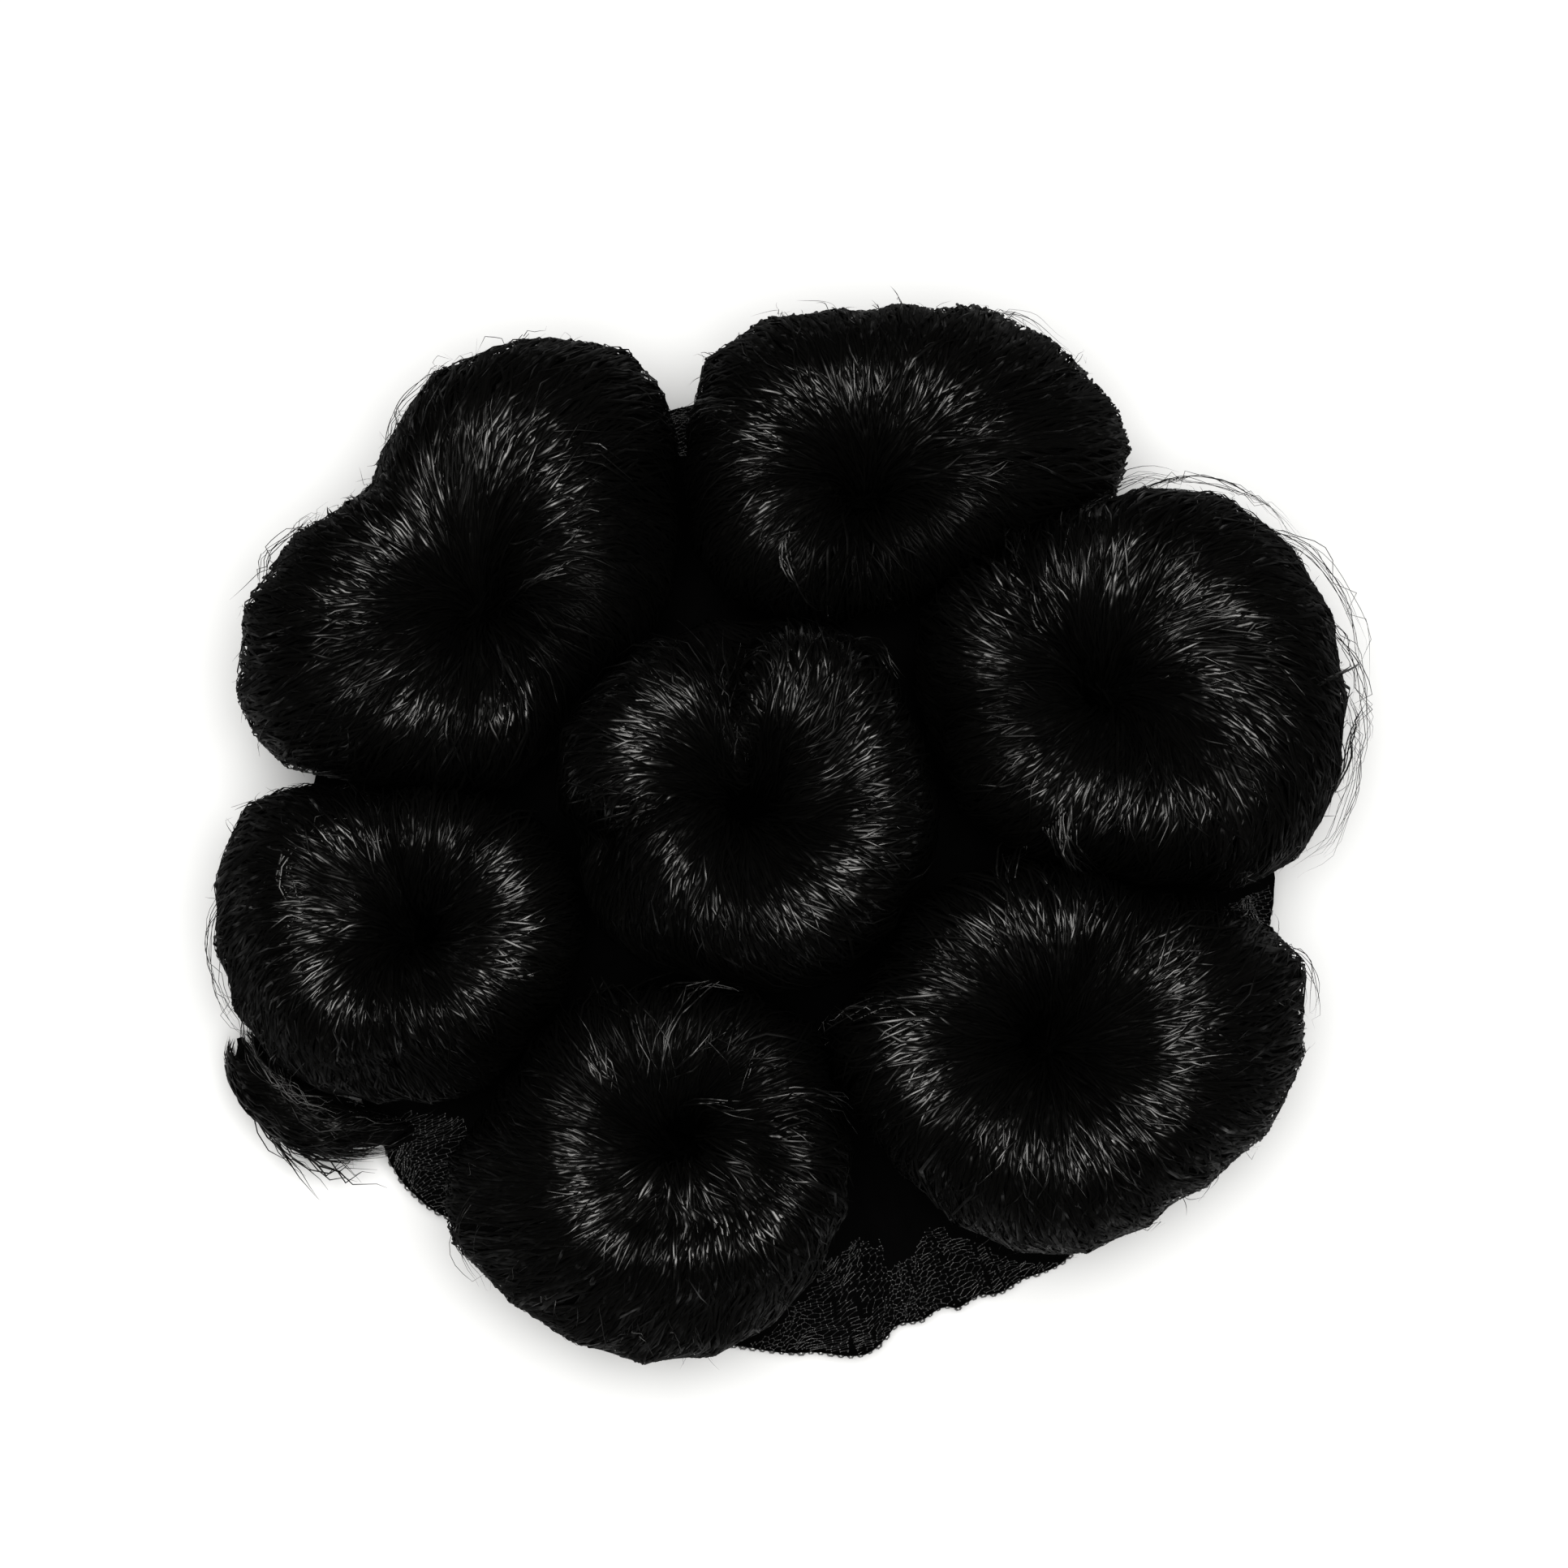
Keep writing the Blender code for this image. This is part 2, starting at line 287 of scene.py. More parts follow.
combedLook = {
    "deep": (0.00012, 0.00012, 0.00012, 1.0), "light": (0.0008, 0.00077, 0.0007, 1.0),
    "roughness": 0.28, "leastRoughness": 0.16, "strandSpread": 0.3, "patchSpread": 0.2, "specular": 0.27,
    "dullRoughness": 0.7, "dullSpecular": 0.012, "bump": 0.0008,
    "patchScale": 120.0, "ownDrift": 0.04, "flecks": 0.26, "fleckFloor": 0.44, "fleckEdge": 7.0,
    "patchFloor": 0.38, "patchEdge": 6.0, "leastField": 0.15, "leastShine": 0.02,
    "flowLength": 60.0, "bandAt": 0.42, "bandHalf": 0.085, "bandEdge": 1.4, "bandStray": 0.4,
    "bandWander": 0.25, "wellShine": 0.03, "sideShine": 0.24, "sideFrom": 0.5, "sideEdge": 6.0,
}


def hairFinish(name, look):
    look = {**combedLook, **look}
    material, board, place = newFinish(name)
    strand = board.wire("ShaderNodeAttribute", {"attribute_name": "strand"}, output="Vector")
    # the dull mark is painted shade where it is above zero and a painted highlight where it is below zero
    dull = board.wire("ShaderNodeAttribute", {"attribute_name": "dull"}, output="Fac")
    own = board.noise(board.vector("MULTIPLY", strand, (1.0, look["ownDrift"], 0.0)), 1.0, 1.0)
    patch = board.noise(place, look["patchScale"], 2.0)
    fleck = board.noise(board.vector("MULTIPLY", strand, (1.0, look["flecks"], 1.0)), 1.0, 2.0)
    tone = toned(board, own, look)
    gloss = look["roughness"] + (own - 0.5) * look["strandSpread"] + (patch - 0.5) * look["patchSpread"]
    bump = board.wire("ShaderNodeBump", None, {"Height": fleck, "Distance": look["bump"], "Strength": 1.0})
    glints = ((fleck - look["fleckFloor"]) * look["fleckEdge"]).held(0.0, 1.0)
    fields = ((patch - look["patchFloor"]) * look["patchEdge"]).held(look["leastField"], 1.0)
    # a ragged band over the crest shines most, the outer side a little and the well hardly
    way = board.parts(strand)[1] / look["flowLength"]
    band = way - look["bandAt"] + (own - 0.5) * look["bandStray"] + (patch - 0.5) * look["bandWander"]
    band = band / look["bandHalf"]
    band = (look["bandEdge"] - band * band).held(0.0, 1.0)
    side = ((way - look["sideFrom"]) * look["sideEdge"]).held(0.0, 1.0)
    beyond = look["wellShine"] + (look["sideShine"] - look["wellShine"]) * side
    # the shine mask paints where highlights fall: the crest band, a second roll and a little of the outer
    # side get painted highlight, the well and the dulled windows painted shade
    band = band.sum("MAXIMUM", dull * -1)  # a second roll is marked below zero
    shine = glints * fields * (1 - dull.sum("MAXIMUM", 0.0)) * band.sum("MAXIMUM", beyond)
    shine = shine.sum("MAXIMUM", look["leastShine"])

    def layer(roughness, specular):
        return board.wire("ShaderNodeBsdfPrincipled", None,
                          {"Base Color": tone, "Roughness": roughness, "Normal": bump, "Metallic": 0.0,
                           "Specular IOR Level": specular})

    shiny = layer(gloss.held(look["leastRoughness"], 1.0), look["specular"])
    matt = layer(look["dullRoughness"], look["dullSpecular"])
    mixed = board.wire("ShaderNodeMixShader", None, {0: 1 - shine, 1: shiny, 2: matt})
    board.tree.nodes.remove(board.tree.nodes["Principled BSDF"])
    board.tree.links.new(mixed.socket, board.tree.nodes["Material Output"].inputs["Surface"])
    return material


def netFinish(name, look):
    material, board, place = newFinish(name)
    twist = board.wire("ShaderNodeTexVoronoi", {"feature": "DISTANCE_TO_EDGE"},
                       {"Vector": place, "Scale": look["twistScale"]}, "Distance")
    fine = board.noise(place, look["fleckScale"], 3.0)
    bump = board.wire("ShaderNodeBump", None, {"Height": twist, "Distance": look["bump"], "Strength": 1.0})
    gloss = look["roughness"] + (fine - 0.5) * look["roughnessSpread"]
    shader = board.tree.nodes["Principled BSDF"]
    for socket, wire in (("Base Color", toned(board, fine, look)), ("Roughness", gloss), ("Normal", bump)):
        board.tree.links.new(wire.socket, shader.inputs[socket])
    shader.inputs["Specular IOR Level"].default_value = look["specular"]
    return material


bodyLook = {
    "deep": (0.0001, 0.0001, 0.0001, 1.0), "light": (0.0003, 0.0003, 0.00028, 1.0),
    "roughness": 0.6, "specular": 0.05, "flecks": 0.3,
}
looseLook = {"bandHalf": 100.0, "fleckFloor": 0.3, "patchFloor": 0.3, "roughness": 0.36, "specular": 0.2}
tuckedLook = {**looseLook, "specular": 0.1, "fleckFloor": 0.4, "patchFloor": 0.36}
threadLook = {
    "deep": (0.0002, 0.0002, 0.0002, 1.0), "light": (0.008, 0.008, 0.0083, 1.0),
    "roughness": 0.3, "roughnessSpread": 0.9, "twistScale": 2600.0, "fleckScale": 900.0,
    "specular": 0.3, "bump": 0.00008,
}
beadLook = {**threadLook, "light": (0.04, 0.04, 0.041, 1.0), "roughnessSpread": 0.5, "specular": 1.0}
clothLook = {
    "deep": (0.0001, 0.0001, 0.0001, 1.0), "light": (0.0006, 0.0006, 0.00062, 1.0),
    "roughness": 0.9, "roughnessSpread": 0.2, "twistScale": 1500.0, "fleckScale": 300.0,
    "specular": 0.008, "bump": 0.0001,
}
strandFinish = hairFinish("combed strands", {})
looseFinish = hairFinish("loose hairs", looseLook)
tuckedFinish = hairFinish("tucked hair", tuckedLook)
bodyFinish = hairFinish("hair under the strands", bodyLook)
threadFinish = netFinish("net threads", threadLook)
beadFinish = netFinish("hem stitches", beadLook)
clothFinish = netFinish("cap cloth", clothLook)


# Strands: narrow arched ribbons, each with a place of its own in the baked map

ribbonFacts = {"radius": 0.65, "sweep": 100.0, "rootTaper": 7.0, "tipTaper": 2.6, "tipWidth": 0.12,
               "strandStep": 3.71, "perRow": 64.0}


def layRibbons(board, curves, strand, count, along, reach, width, sheet):
    facts = ribbonFacts
    taper = (along * facts["rootTaper"]).sum("MINIMUM", 1.0)
    taper = taper.sum("MINIMUM", (1 - along) * facts["tipTaper"] + facts["tipWidth"])
    curves = board.keep(curves, "along", along)
    curves = board.keep(curves, "strand", board.xyz(strand * facts["strandStep"], reach, 0.0), "FLOAT_VECTOR")
    profile = board.arc(facts["radius"], facts["sweep"])
    profile = board.keep(profile, "across", board.geo("SplineParameter", output="Factor"))
    ribbons = board.geo("CurveToMesh", {"Curve": curves, "Profile Curve": profile, "Scale": width * taper})
    perRow = facts["perRow"]
    rows = (count / perRow).sum("CEIL")
    u = (strand.sum("FLOORED_MODULO", perRow) + 0.15 + board.named("across") * 0.7) / perRow
    v = ((strand / perRow).sum("FLOOR") + 0.08 + board.named("along") * 0.84) / rows
    v = sheet[0] + v * (sheet[1] - sheet[0])
    return board.keep(ribbons, "OFBake", board.xyz(u, v, 0.0), "FLOAT2", "CORNER")


# The flow of a curl: a smooth skin read from its solid, up the well, over the crest and down outside

flowGrid = {"columns": 72, "rings": 26, "wellTurn": 205.0, "footTurn": -62.0,
            "underTurns": (-80.0, -100.0, -122.0), "tubeDrop": 15.0, "wellDeeper": 3.5,
            "crestWay": 0.43, "crestReach": 0.24, "sink": 0.0003, "streaks": 240.0}


def cornersOf(node):
    return np.array([vertex.co for vertex in nodes[node].data.vertices])


def treeOf(node):
    mesh = nodes[node].data
    return BVHTree.FromPolygons([vertex.co.copy() for vertex in mesh.vertices],
                                [tuple(face.vertices) for face in mesh.polygons])


def roundMean(values, reach):
    return sum(np.roll(values, step) for step in range(-reach, reach + 1)) / (2 * reach + 1)


def readCrest(shape, well, columns):
    # radius and height of the crest in every direction round the well
    radii = np.arange(7.0, 27.0, 0.5) * millimetre
    crest = np.zeros((columns, 2))
    for column in range(columns):
        angle = circle * column / columns
        best = -1.0
        for radius in radii:
            start = Vector((well[0] + radius * math.cos(angle), well[1] + radius * math.sin(angle), 0.1))
            hit = shape.ray_cast(start, Vector((0, 0, -1)))[0]
            if hit is not None and hit.z > best:
                best = hit.z
                crest[column] = (radius, best)
    return roundMean(crest[:, 0], 2), roundMean(crest[:, 1], 2)


def readFlow(node, well):
    columns = flowGrid["columns"]
    shape = treeOf(node)
    crestRadius, crestHeight = readCrest(shape, well, columns)
    turns = np.linspace(flowGrid["wellTurn"], flowGrid["footTurn"], flowGrid["rings"])
    turns = np.radians((*turns, *flowGrid["underTurns"]))
    points = np.zeros((len(turns), columns, 3))
    for column in range(columns):
        angle = circle * column / columns
        heading = Vector((math.cos(angle), math.sin(angle), 0))
        middle = Vector((well[0], well[1], crestHeight[column] - flowGrid["tubeDrop"] * millimetre))
        middle += heading * crestRadius[column]
        for ring, bend in enumerate(turns):
            hit = shape.ray_cast(middle, heading * math.cos(bend) + Vector((0, 0, math.sin(bend))))[0]
            points[ring, column] = hit if hit is not None else points[ring - 1, column]
    return points


def flowSkin(name, points, flowRings, ends):
    # the closed body under the strands, with the combing's own map: once round, and 0 to 1 along the flow
    rings, columns, _ = points.shape
    full = (rings - 1) / (flowRings - 1) + 0.1

    def comb(ring, column, _):
        return column / columns, ring / (flowRings - 1)

    def sheet(ring, column, _):
        return 0.01 + 0.98 * column / columns, 0.02 + 0.2 * ring / (flowRings - 1) / full

    mesh = ringSkin(name, points, {"comb": comb, "OFBake": sheet}, ends)
    mark(mesh, "outward", "FLOAT_VECTOR", readAll(mesh.vertices, "normal", 3))
    return mesh


def sinkUnderStrands(mesh, rows, length):
    # the skin lies a little under its strands, and carries their streaks on
    outward = readAll(mesh.attributes["outward"].data, "vector", 3)
    places = readAll(mesh.vertices, "co", 3) - outward * flowGrid["sink"]
    mesh.vertices.foreach_set("co", places.ravel())
    corners = readAll(mesh.loops, "vertex_index", 1, np.int32)[:, 0]
    streaks = np.zeros((len(mesh.vertices), 3), np.float32)
    streaks[corners, :2] = readAll(mesh.uv_layers["comb"].uv, "vector", 2) * (rows, length)
    mark(mesh, "strand", "FLOAT_VECTOR", streaks)


# Combing: strands laid along a flow in locks

longStrands = {
    "Strands": 1200, "Points": 16, "Seed": 11, "Round Low": 0.0, "Round High": 1.0,
    "Start Low": 0.0, "Start High": 0.16, "Length Low": 0.96, "Length High": 1.1,
    "Width Low": 0.00032, "Width High": 0.00062, "Lift Low": 0.0, "Lift High": 0.0007,
    "Tip Lift": 0.0, "Ripple": 0.00032, "Sway": 0.008, "Waves": 4.0, "Swirl": 0.02,
    "Locks": 32.0, "Gather": 0.7, "Lock Lift": 0.0011, "Roll": 0.5, "Flow Length": 60.0,
    "Foot Calm": 0.85, "Sheet Low": 0.25, "Sheet High": 0.55,
}
shortStrands = {
    **longStrands, "Strands": 1200, "Points": 6, "Seed": 23, "Start Low": 0.08, "Start High": 0.42,
    "Length Low": 0.08, "Length High": 0.24, "Width Low": 0.00020, "Width High": 0.00046,
    "Lift Low": 0.0004, "Lift High": 0.0015, "Tip Lift": 0.0007, "Ripple": 0.0003, "Sway": 0.016,
    "Gather": 0.4, "Roll": 0.6, "Sheet Low": 0.56, "Sheet High": 0.8,
}
fuzzStrands = {
    **longStrands, "Strands": 200, "Points": 5, "Seed": 37, "Start Low": 0.45, "Start High": 0.92,
    "Length Low": 0.03, "Length High": 0.07, "Width Low": 0.00005, "Width High": 0.00009,
    "Lift Low": 0.0002, "Lift High": 0.0005, "Tip Lift": 0.0009, "Ripple": 0.0, "Sway": 0.01,
    "Gather": 0.15, "Lock Lift": 0.0005, "Roll": 0.8, "Sheet Low": 0.81, "Sheet High": 0.99,
}
# How far past the foot a strand may run, how its lock opens midway, how it calms and thins at the foot
combFacts = {"lastWay": 1.11, "lockOpens": 0.35, "rippleBeat": 9.0, "footFrom": 0.5, "calmEdge": 3.0,
             "thinEdge": 2.6, "footThin": 0.45}


def strandTree(sizes):
    board, given, out = newGrowth("combed strands", sizes)
    facts = combFacts

    def chance(low, high, salt, number=None):
        return board.chance(low, high, given["Seed"] + salt, strand if number is None else number)

    line = board.geo("CurvePrimitiveLine")
    line = board.geo("ResampleCurve", {"Curve": line, "Count": given["Points"]})
    copies = board.put("GeometryNodeDuplicateElements", {"domain": "SPLINE"},
                       {"Geometry": line, "Amount": given["Strands"]})
    strand = Wire(board, copies.outputs["Duplicate Index"])
    along = board.geo("SplineParameter", output="Factor")
    # which way round, pulled towards the middle of its lock
    place = chance(given["Round Low"], given["Round High"], 1)
    lockNumber = (place * given["Locks"]).sum("FLOOR")
    lockMiddle = (lockNumber + chance(0.3, 0.7, 2, lockNumber)) / given["Locks"]
    hold = given["Gather"] * chance(0.5, 1.0, 3)
    start = chance(given["Start Low"], given["Start High"], 4)
    length = chance(given["Length Low"], given["Length High"], 5)
    way = (start + length * along).sum("MINIMUM", facts["lastWay"])
    hump = (along * math.pi).sum("SINE")
    gathered = place + (lockMiddle - place) * hold * (1 - hump * facts["lockOpens"])
    aside = ((gathered - lockMiddle) * given["Locks"] * 2.0).sum("ABSOLUTE").sum("MINIMUM", 1.0)
    phase = chance(0.0, waveTurn, 6)
    lockPhase = chance(0.0, waveTurn, 7, lockNumber)
    beat = given["Waves"] * chance(0.7, 1.3, 8)
    wave = (way * beat * waveTurn + phase * 0.35 + lockPhase).sum("SINE")
    turned = gathered + given["Swirl"] * way * chance(0.6, 1.4, 9)
    turned = turned + wave * given["Sway"] * chance(0.3, 1.0, 10)
    turned = turned + chance(-1.0, 1.0, 11) * given["Sway"] * 1.2 * along
    target = board.xyz(turned.sum("FRACT"), way, 0.0)
    comb = board.named("comb", "FLOAT_VECTOR")

    def onFlow(value, kind="FLOAT_VECTOR"):
        return board.geo("SampleUVSurface", {"Mesh": given["Geometry"], "Value": value, "Source UV Map": comb,
                                             "Sample UV": target}, {"data_type": kind})

    spot = onFlow(board.geo("InputPosition"))
    outward = board.vector("NORMALIZE", onFlow(board.named("outward", "FLOAT_VECTOR")))
    ripple = (way * beat * facts["rippleBeat"] + phase).sum("SINE") * given["Ripple"]
    bundle = (1 - aside * aside) * given["Lock Lift"] * chance(0.2, 1.0, 16, lockNumber)
    lift = chance(given["Lift Low"], given["Lift High"], 12) + ripple + bundle
    foot = way - facts["footFrom"]
    lift = lift * (1 - given["Foot Calm"] * (foot * facts["calmEdge"]).held(0.0, 1.0))
    lift = lift + given["Tip Lift"] * chance(0.0, 1.0, 13) * along * along * along
    laid = board.vector("ADD", spot, board.scaled(outward, lift))
    # the painted shade and highlight mark goes from the flow onto the strands
    curves = board.keep(Wire(board, copies.outputs[0]), "dull", onFlow(board.named("dull"), "FLOAT"))
    curves = board.geo("SetPosition", {"Geometry": curves, "Position": laid})
    # the ribbons lie on the flow, rolled a little either way
    side = board.vector("CROSS_PRODUCT", outward, board.geo("InputTangent"))
    roll = chance(-1.0, 1.0, 14) * given["Roll"]
    rolled = board.vector("ADD", outward, board.scaled(side, roll))
    curves = board.facing(curves, board.vector("NORMALIZE", rolled))
    width = chance(given["Width Low"], given["Width High"], 15)
    width = width * (1 - facts["footThin"] * (foot * facts["thinEdge"]).held(0.0, 1.0))
    ribbons = layRibbons(board, curves, strand, given["Strands"], along, way * given["Flow Length"], width,
                         (given["Sheet Low"], given["Sheet High"]))
    return finishGrowth(board, out, ribbons, given["Hair"])


combing = strandTree({**longStrands, "Hair": strandFinish})

# Where each curl's well is in the frame in mm, how its strands turn on their way over the crest, and where
# painted shade dulls it: at which angle, how wide in degrees and how much. A pinch draws the crest in: at
# which angle, how wide before and after it, by which share and how many mm lower. A ridge is a second roll,
# which gets
# a painted highlight: at which angle and how wide, how far along the flow, how that drifts over 100 degrees,
# how broad and how many mm high.
curlTable = {
    "curl_center": {
        "well": (-5.1, -0.75), "swirl": 0.24, "dull": ((215, 16, 0.35),),
        "pinches": ((99, 14, 12, 0.6, 4.0), (196, 9, 42, 0.26, 1.0)),
        "ridges": ((30, 42, 0.30, 0.08, 0.035, 2.4),)},
    "curl_top_left": {
        "well": (-41.1, 29.5), "swirl": -0.12, "dull": ((-24, 38, 1.0), (-95, 14, 0.3)),
        "pinches": ((128, 16, 12, 0.10, 1.0), (-50, 20, 20, 0.10, 4.0), (22, 32, 30, 0.15, 0.0)),
        "ridges": ()},
    "curl_top": {
        "well": (11.3, 45.0), "swirl": 0.06, "dull": ((-78, 76, 1.0),),
        "pinches": ((-92, 34, 34, 0.05, 5.0), (10, 30, 30, 0.08, 0.0)), "ridges": ()},
    "curl_right": {
        "well": (43.6, 17.1), "swirl": -0.18, "dull": ((-160, 24, 0.85), (-8, 10, 0.4), (112, 10, 0.3)),
        "pinches": ((-168, 20, 12, 0.14, 2.0),), "ridges": ((20, 40, 0.30, -0.05, 0.035, 2.0),)},
    "curl_bottom_right": {
        "well": (35.4, -31.1), "swirl": 0.1, "dull": ((215, 10, 0.3), (56, 18, 0.55)),
        "pinches": ((158, 10, 14, 0.10, 1.2), (185, 34, 34, -0.2, 0.0), (0, 30, 30, 0.07, 0.0)),
        "ridges": ()},
    "curl_bottom": {
        "well": (-13.8, -44.95), "swirl": -0.16, "dull": ((92, 88, 0.9),),
        "pinches": ((92, 40, 40, 0.0, 5.5), (190, 36, 36, 0.2, 0.0), (-88, 44, 36, 0.2, 0.0)),
        "ridges": ((-62, 84, 0.285, -0.02, 0.036, 3.8),)},
    "curl_left": {
        "well": (-49.9, -16.1), "swirl": 0.14, "dull": ((150, 14, 0.4), (82, 24, 0.6), (-95, 20, 0.2)),
        "pinches": ((120, 14, 14, 0.08, 1.5), (186, 34, 34, 0.15, 0.0), (-86, 40, 40, 0.25, 0.0)),
        "ridges": ((150, 40, 0.30, 0.0, 0.035, 2.0),)},
}
# A second roll has a groove beside it, and the hair in that groove is dulled as painted shade
grooveFacts = {"at": 2.0, "depth": 0.6, "paintedShadeAt": 2.1, "paintedShadeHalf": 0.7, "dull": 0.9}


def turnsFrom(at):
    # how far every column of a flow is from an angle, -180 to 180
    return (np.arange(flowGrid["columns"]) * 360 / flowGrid["columns"] - at + 180) % 360 - 180


def overRidge(rings, at, width, level, drift, breadth, _):
    # how much of a ridge every column has, and where every place of the flow lies across it
    turn = turnsFrom(at)
    way = (np.arange(rings) / (flowGrid["rings"] - 1))[:, None]
    return np.exp(-(turn / width) ** 4), (way - level - drift * turn / 100) / breadth


def markPaintedShade(mesh, rings, facts):
    # 0 where the hair shines, up to 1 where painted shade dulls it, and below 0 on a second roll, which gets
    # a painted highlight
    groove = grooveFacts
    dull = np.zeros((rings, flowGrid["columns"]))
    for at, width, much in facts["dull"]:
        dull += much * np.exp(-(turnsFrom(at) / width) ** 4)
    dull = np.clip(dull, 0, 1)
    for ridge in facts["ridges"]:
        window, across = overRidge(rings, *ridge)
        dull -= window * np.exp(-across ** 2) * (1 + dull)
        dull += window * np.exp(-((across - groove["paintedShadeAt"]) / groove["paintedShadeHalf"]) ** 2) * groove["dull"]
    mark(mesh, "dull", "FLOAT", (*dull.ravel(), 0, 0))  # the two ends come last


def shapeFlow(points, well, facts):
    # the pinches and ridges that its rolled hair gives a curl
    way = np.arange(len(points)) / (flowGrid["rings"] - 1)
    crest = np.exp(-((way - flowGrid["crestWay"]) / flowGrid["crestReach"]) ** 4)[:, None]
    shaped = points.copy()
    for at, before, after, pull, sink in facts["pinches"]:
        turn = turnsFrom(at)
        window = np.exp(-(turn / np.where(turn < 0, before, after)) ** 2) * crest
        shaped[:, :, :2] -= (shaped[:, :, :2] - well) * (pull * window)[:, :, None]
        shaped[:, :, 2] -= sink * millimetre * window
    around = np.roll(shaped, -1, 1) - np.roll(shaped, 1, 1)
    outward = np.cross(around, np.gradient(shaped, axis=0))
    outward /= np.maximum(np.linalg.norm(outward, axis=2, keepdims=True), 1e-9)
    if outward[int(flowGrid["crestWay"] * (flowGrid["rings"] - 1)), :, 2].mean() < 0:
        outward = -outward
    for ridge in facts["ridges"]:
        window, across = overRidge(len(points), *ridge)
        roll = np.exp(-across ** 2) - grooveFacts["depth"] * np.exp(-(across - grooveFacts["at"]) ** 2)
        shaped += outward * (ridge[-1] * millimetre * window * roll)[:, :, None]
    return shaped, outward


flows = {}


def makeCurl(node, facts, number):
    well = [part * millimetre for part in facts["well"]]
    flows[node] = shapeFlow(readFlow(node, well), well, facts)
    points = flows[node][0]
    wellEnd = points[0].mean(axis=0) - (0, 0, flowGrid["wellDeeper"] * millimetre)
    mesh = flowSkin(node + "_flow", points, flowGrid["rings"], (wellEnd, points[-1].mean(axis=0)))
    markPaintedShade(mesh, len(points), facts)
    parts = [newPiece(node + "_body", mesh, bodyFinish)]
    for label, setting in (("long", longStrands), ("short", shortStrands), ("fuzz", fuzzStrands)):
        own = {"Hair": strandFinish, "Swirl": facts["swirl"], "Seed": setting["Seed"] + 101 * number}
        parts.append(grow(combing, parts[0], node + "_" + label, {**setting, **own}))
    sinkUnderStrands(mesh, flowGrid["streaks"], longStrands["Flow Length"])
    hand(joined(node.replace("curl_", "hair_"), parts), node)


for number, (node, facts) in enumerate(curlTable.items()):
    makeCurl(node, facts, number)


# The tucked lock: its flow runs from end to end, so its strands lie along it

tailFacts = {
    "node": "tail_lock", "host": "curl_left", "sides": 24, "slice": 0.8, "fewest": 8, "streaks": 60.0,
    "strands": {**longStrands, "Strands": 360, "Points": 12, "Seed": 71, "Start Low": 0.0, "Start High": 0.2,
                "Length Low": 0.5, "Length High": 0.8, "Swirl": 0.3, "Sway": 0.05, "Waves": 2.6,
                "Lift Low": 0.0, "Lift High": 0.0009, "Tip Lift": 0.0016, "Locks": 9.0, "Gather": 0.5,
                "Lock Lift": 0.0006, "Flow Length": 42.0},
}


def readTail(facts):
    # rings round its sections, in the order in which they lie round the curl that holds it
    shape = treeOf(facts["node"])
    host = np.array(curlTable[facts["host"]]["well"]) * millimetre
    corners = cornersOf(facts["node"])
    angles = np.degrees(np.arctan2(corners[:, 1] - host[1], corners[:, 0] - host[0])) % 360
    sections = []
    for angle in np.unique(np.round(angles)):
        near = corners[np.abs(angles - angle) < facts["slice"]]
        if len(near) >= facts["fewest"]:
            sections.append((math.radians(angle), near.mean(axis=0)))
    points = np.zeros((len(sections), facts["sides"], 3))
    for ring, (bend, middle) in enumerate(sections):
        heading = Vector((math.cos(bend), math.sin(bend), 0))
        for side in range(facts["sides"]):
            turn = circle * side / facts["sides"]
            hit = shape.ray_cast(Vector(middle), heading * math.cos(turn) + Vector((0, 0, math.sin(turn))))[0]
            points[ring, side] = hit if hit is not None else middle
    return points


def makeTail(facts):
    points = readTail(facts)
    mesh = flowSkin("tail_flow", points, len(points), (points[0].mean(axis=0), points[-1].mean(axis=0)))
    parts = [newPiece("tail_body", mesh, bodyFinish)]
    parts.append(grow(combing, parts[0], "tail_strands", {**facts["strands"], "Hair": tuckedFinish}))
    sinkUnderStrands(mesh, facts["streaks"], facts["strands"]["Flow Length"])
    hand(joined("tail_hair", parts), facts["node"])


makeTail(tailFacts)


# Loose hairs: tufts that follow listed paths, given in mm

looseHairs = {"Points": 16, "Seed": 5, "Width Low": 0.00006, "Width High": 0.00012,
              "Crimp": 0.0004, "Crimp Length": 0.009}
crossingHairs = {"Points": 9, "Seed": 9, "Width Low": 0.00014, "Width High": 0.00030,
                 "Crimp": 0.0006, "Crimp Length": 0.009}


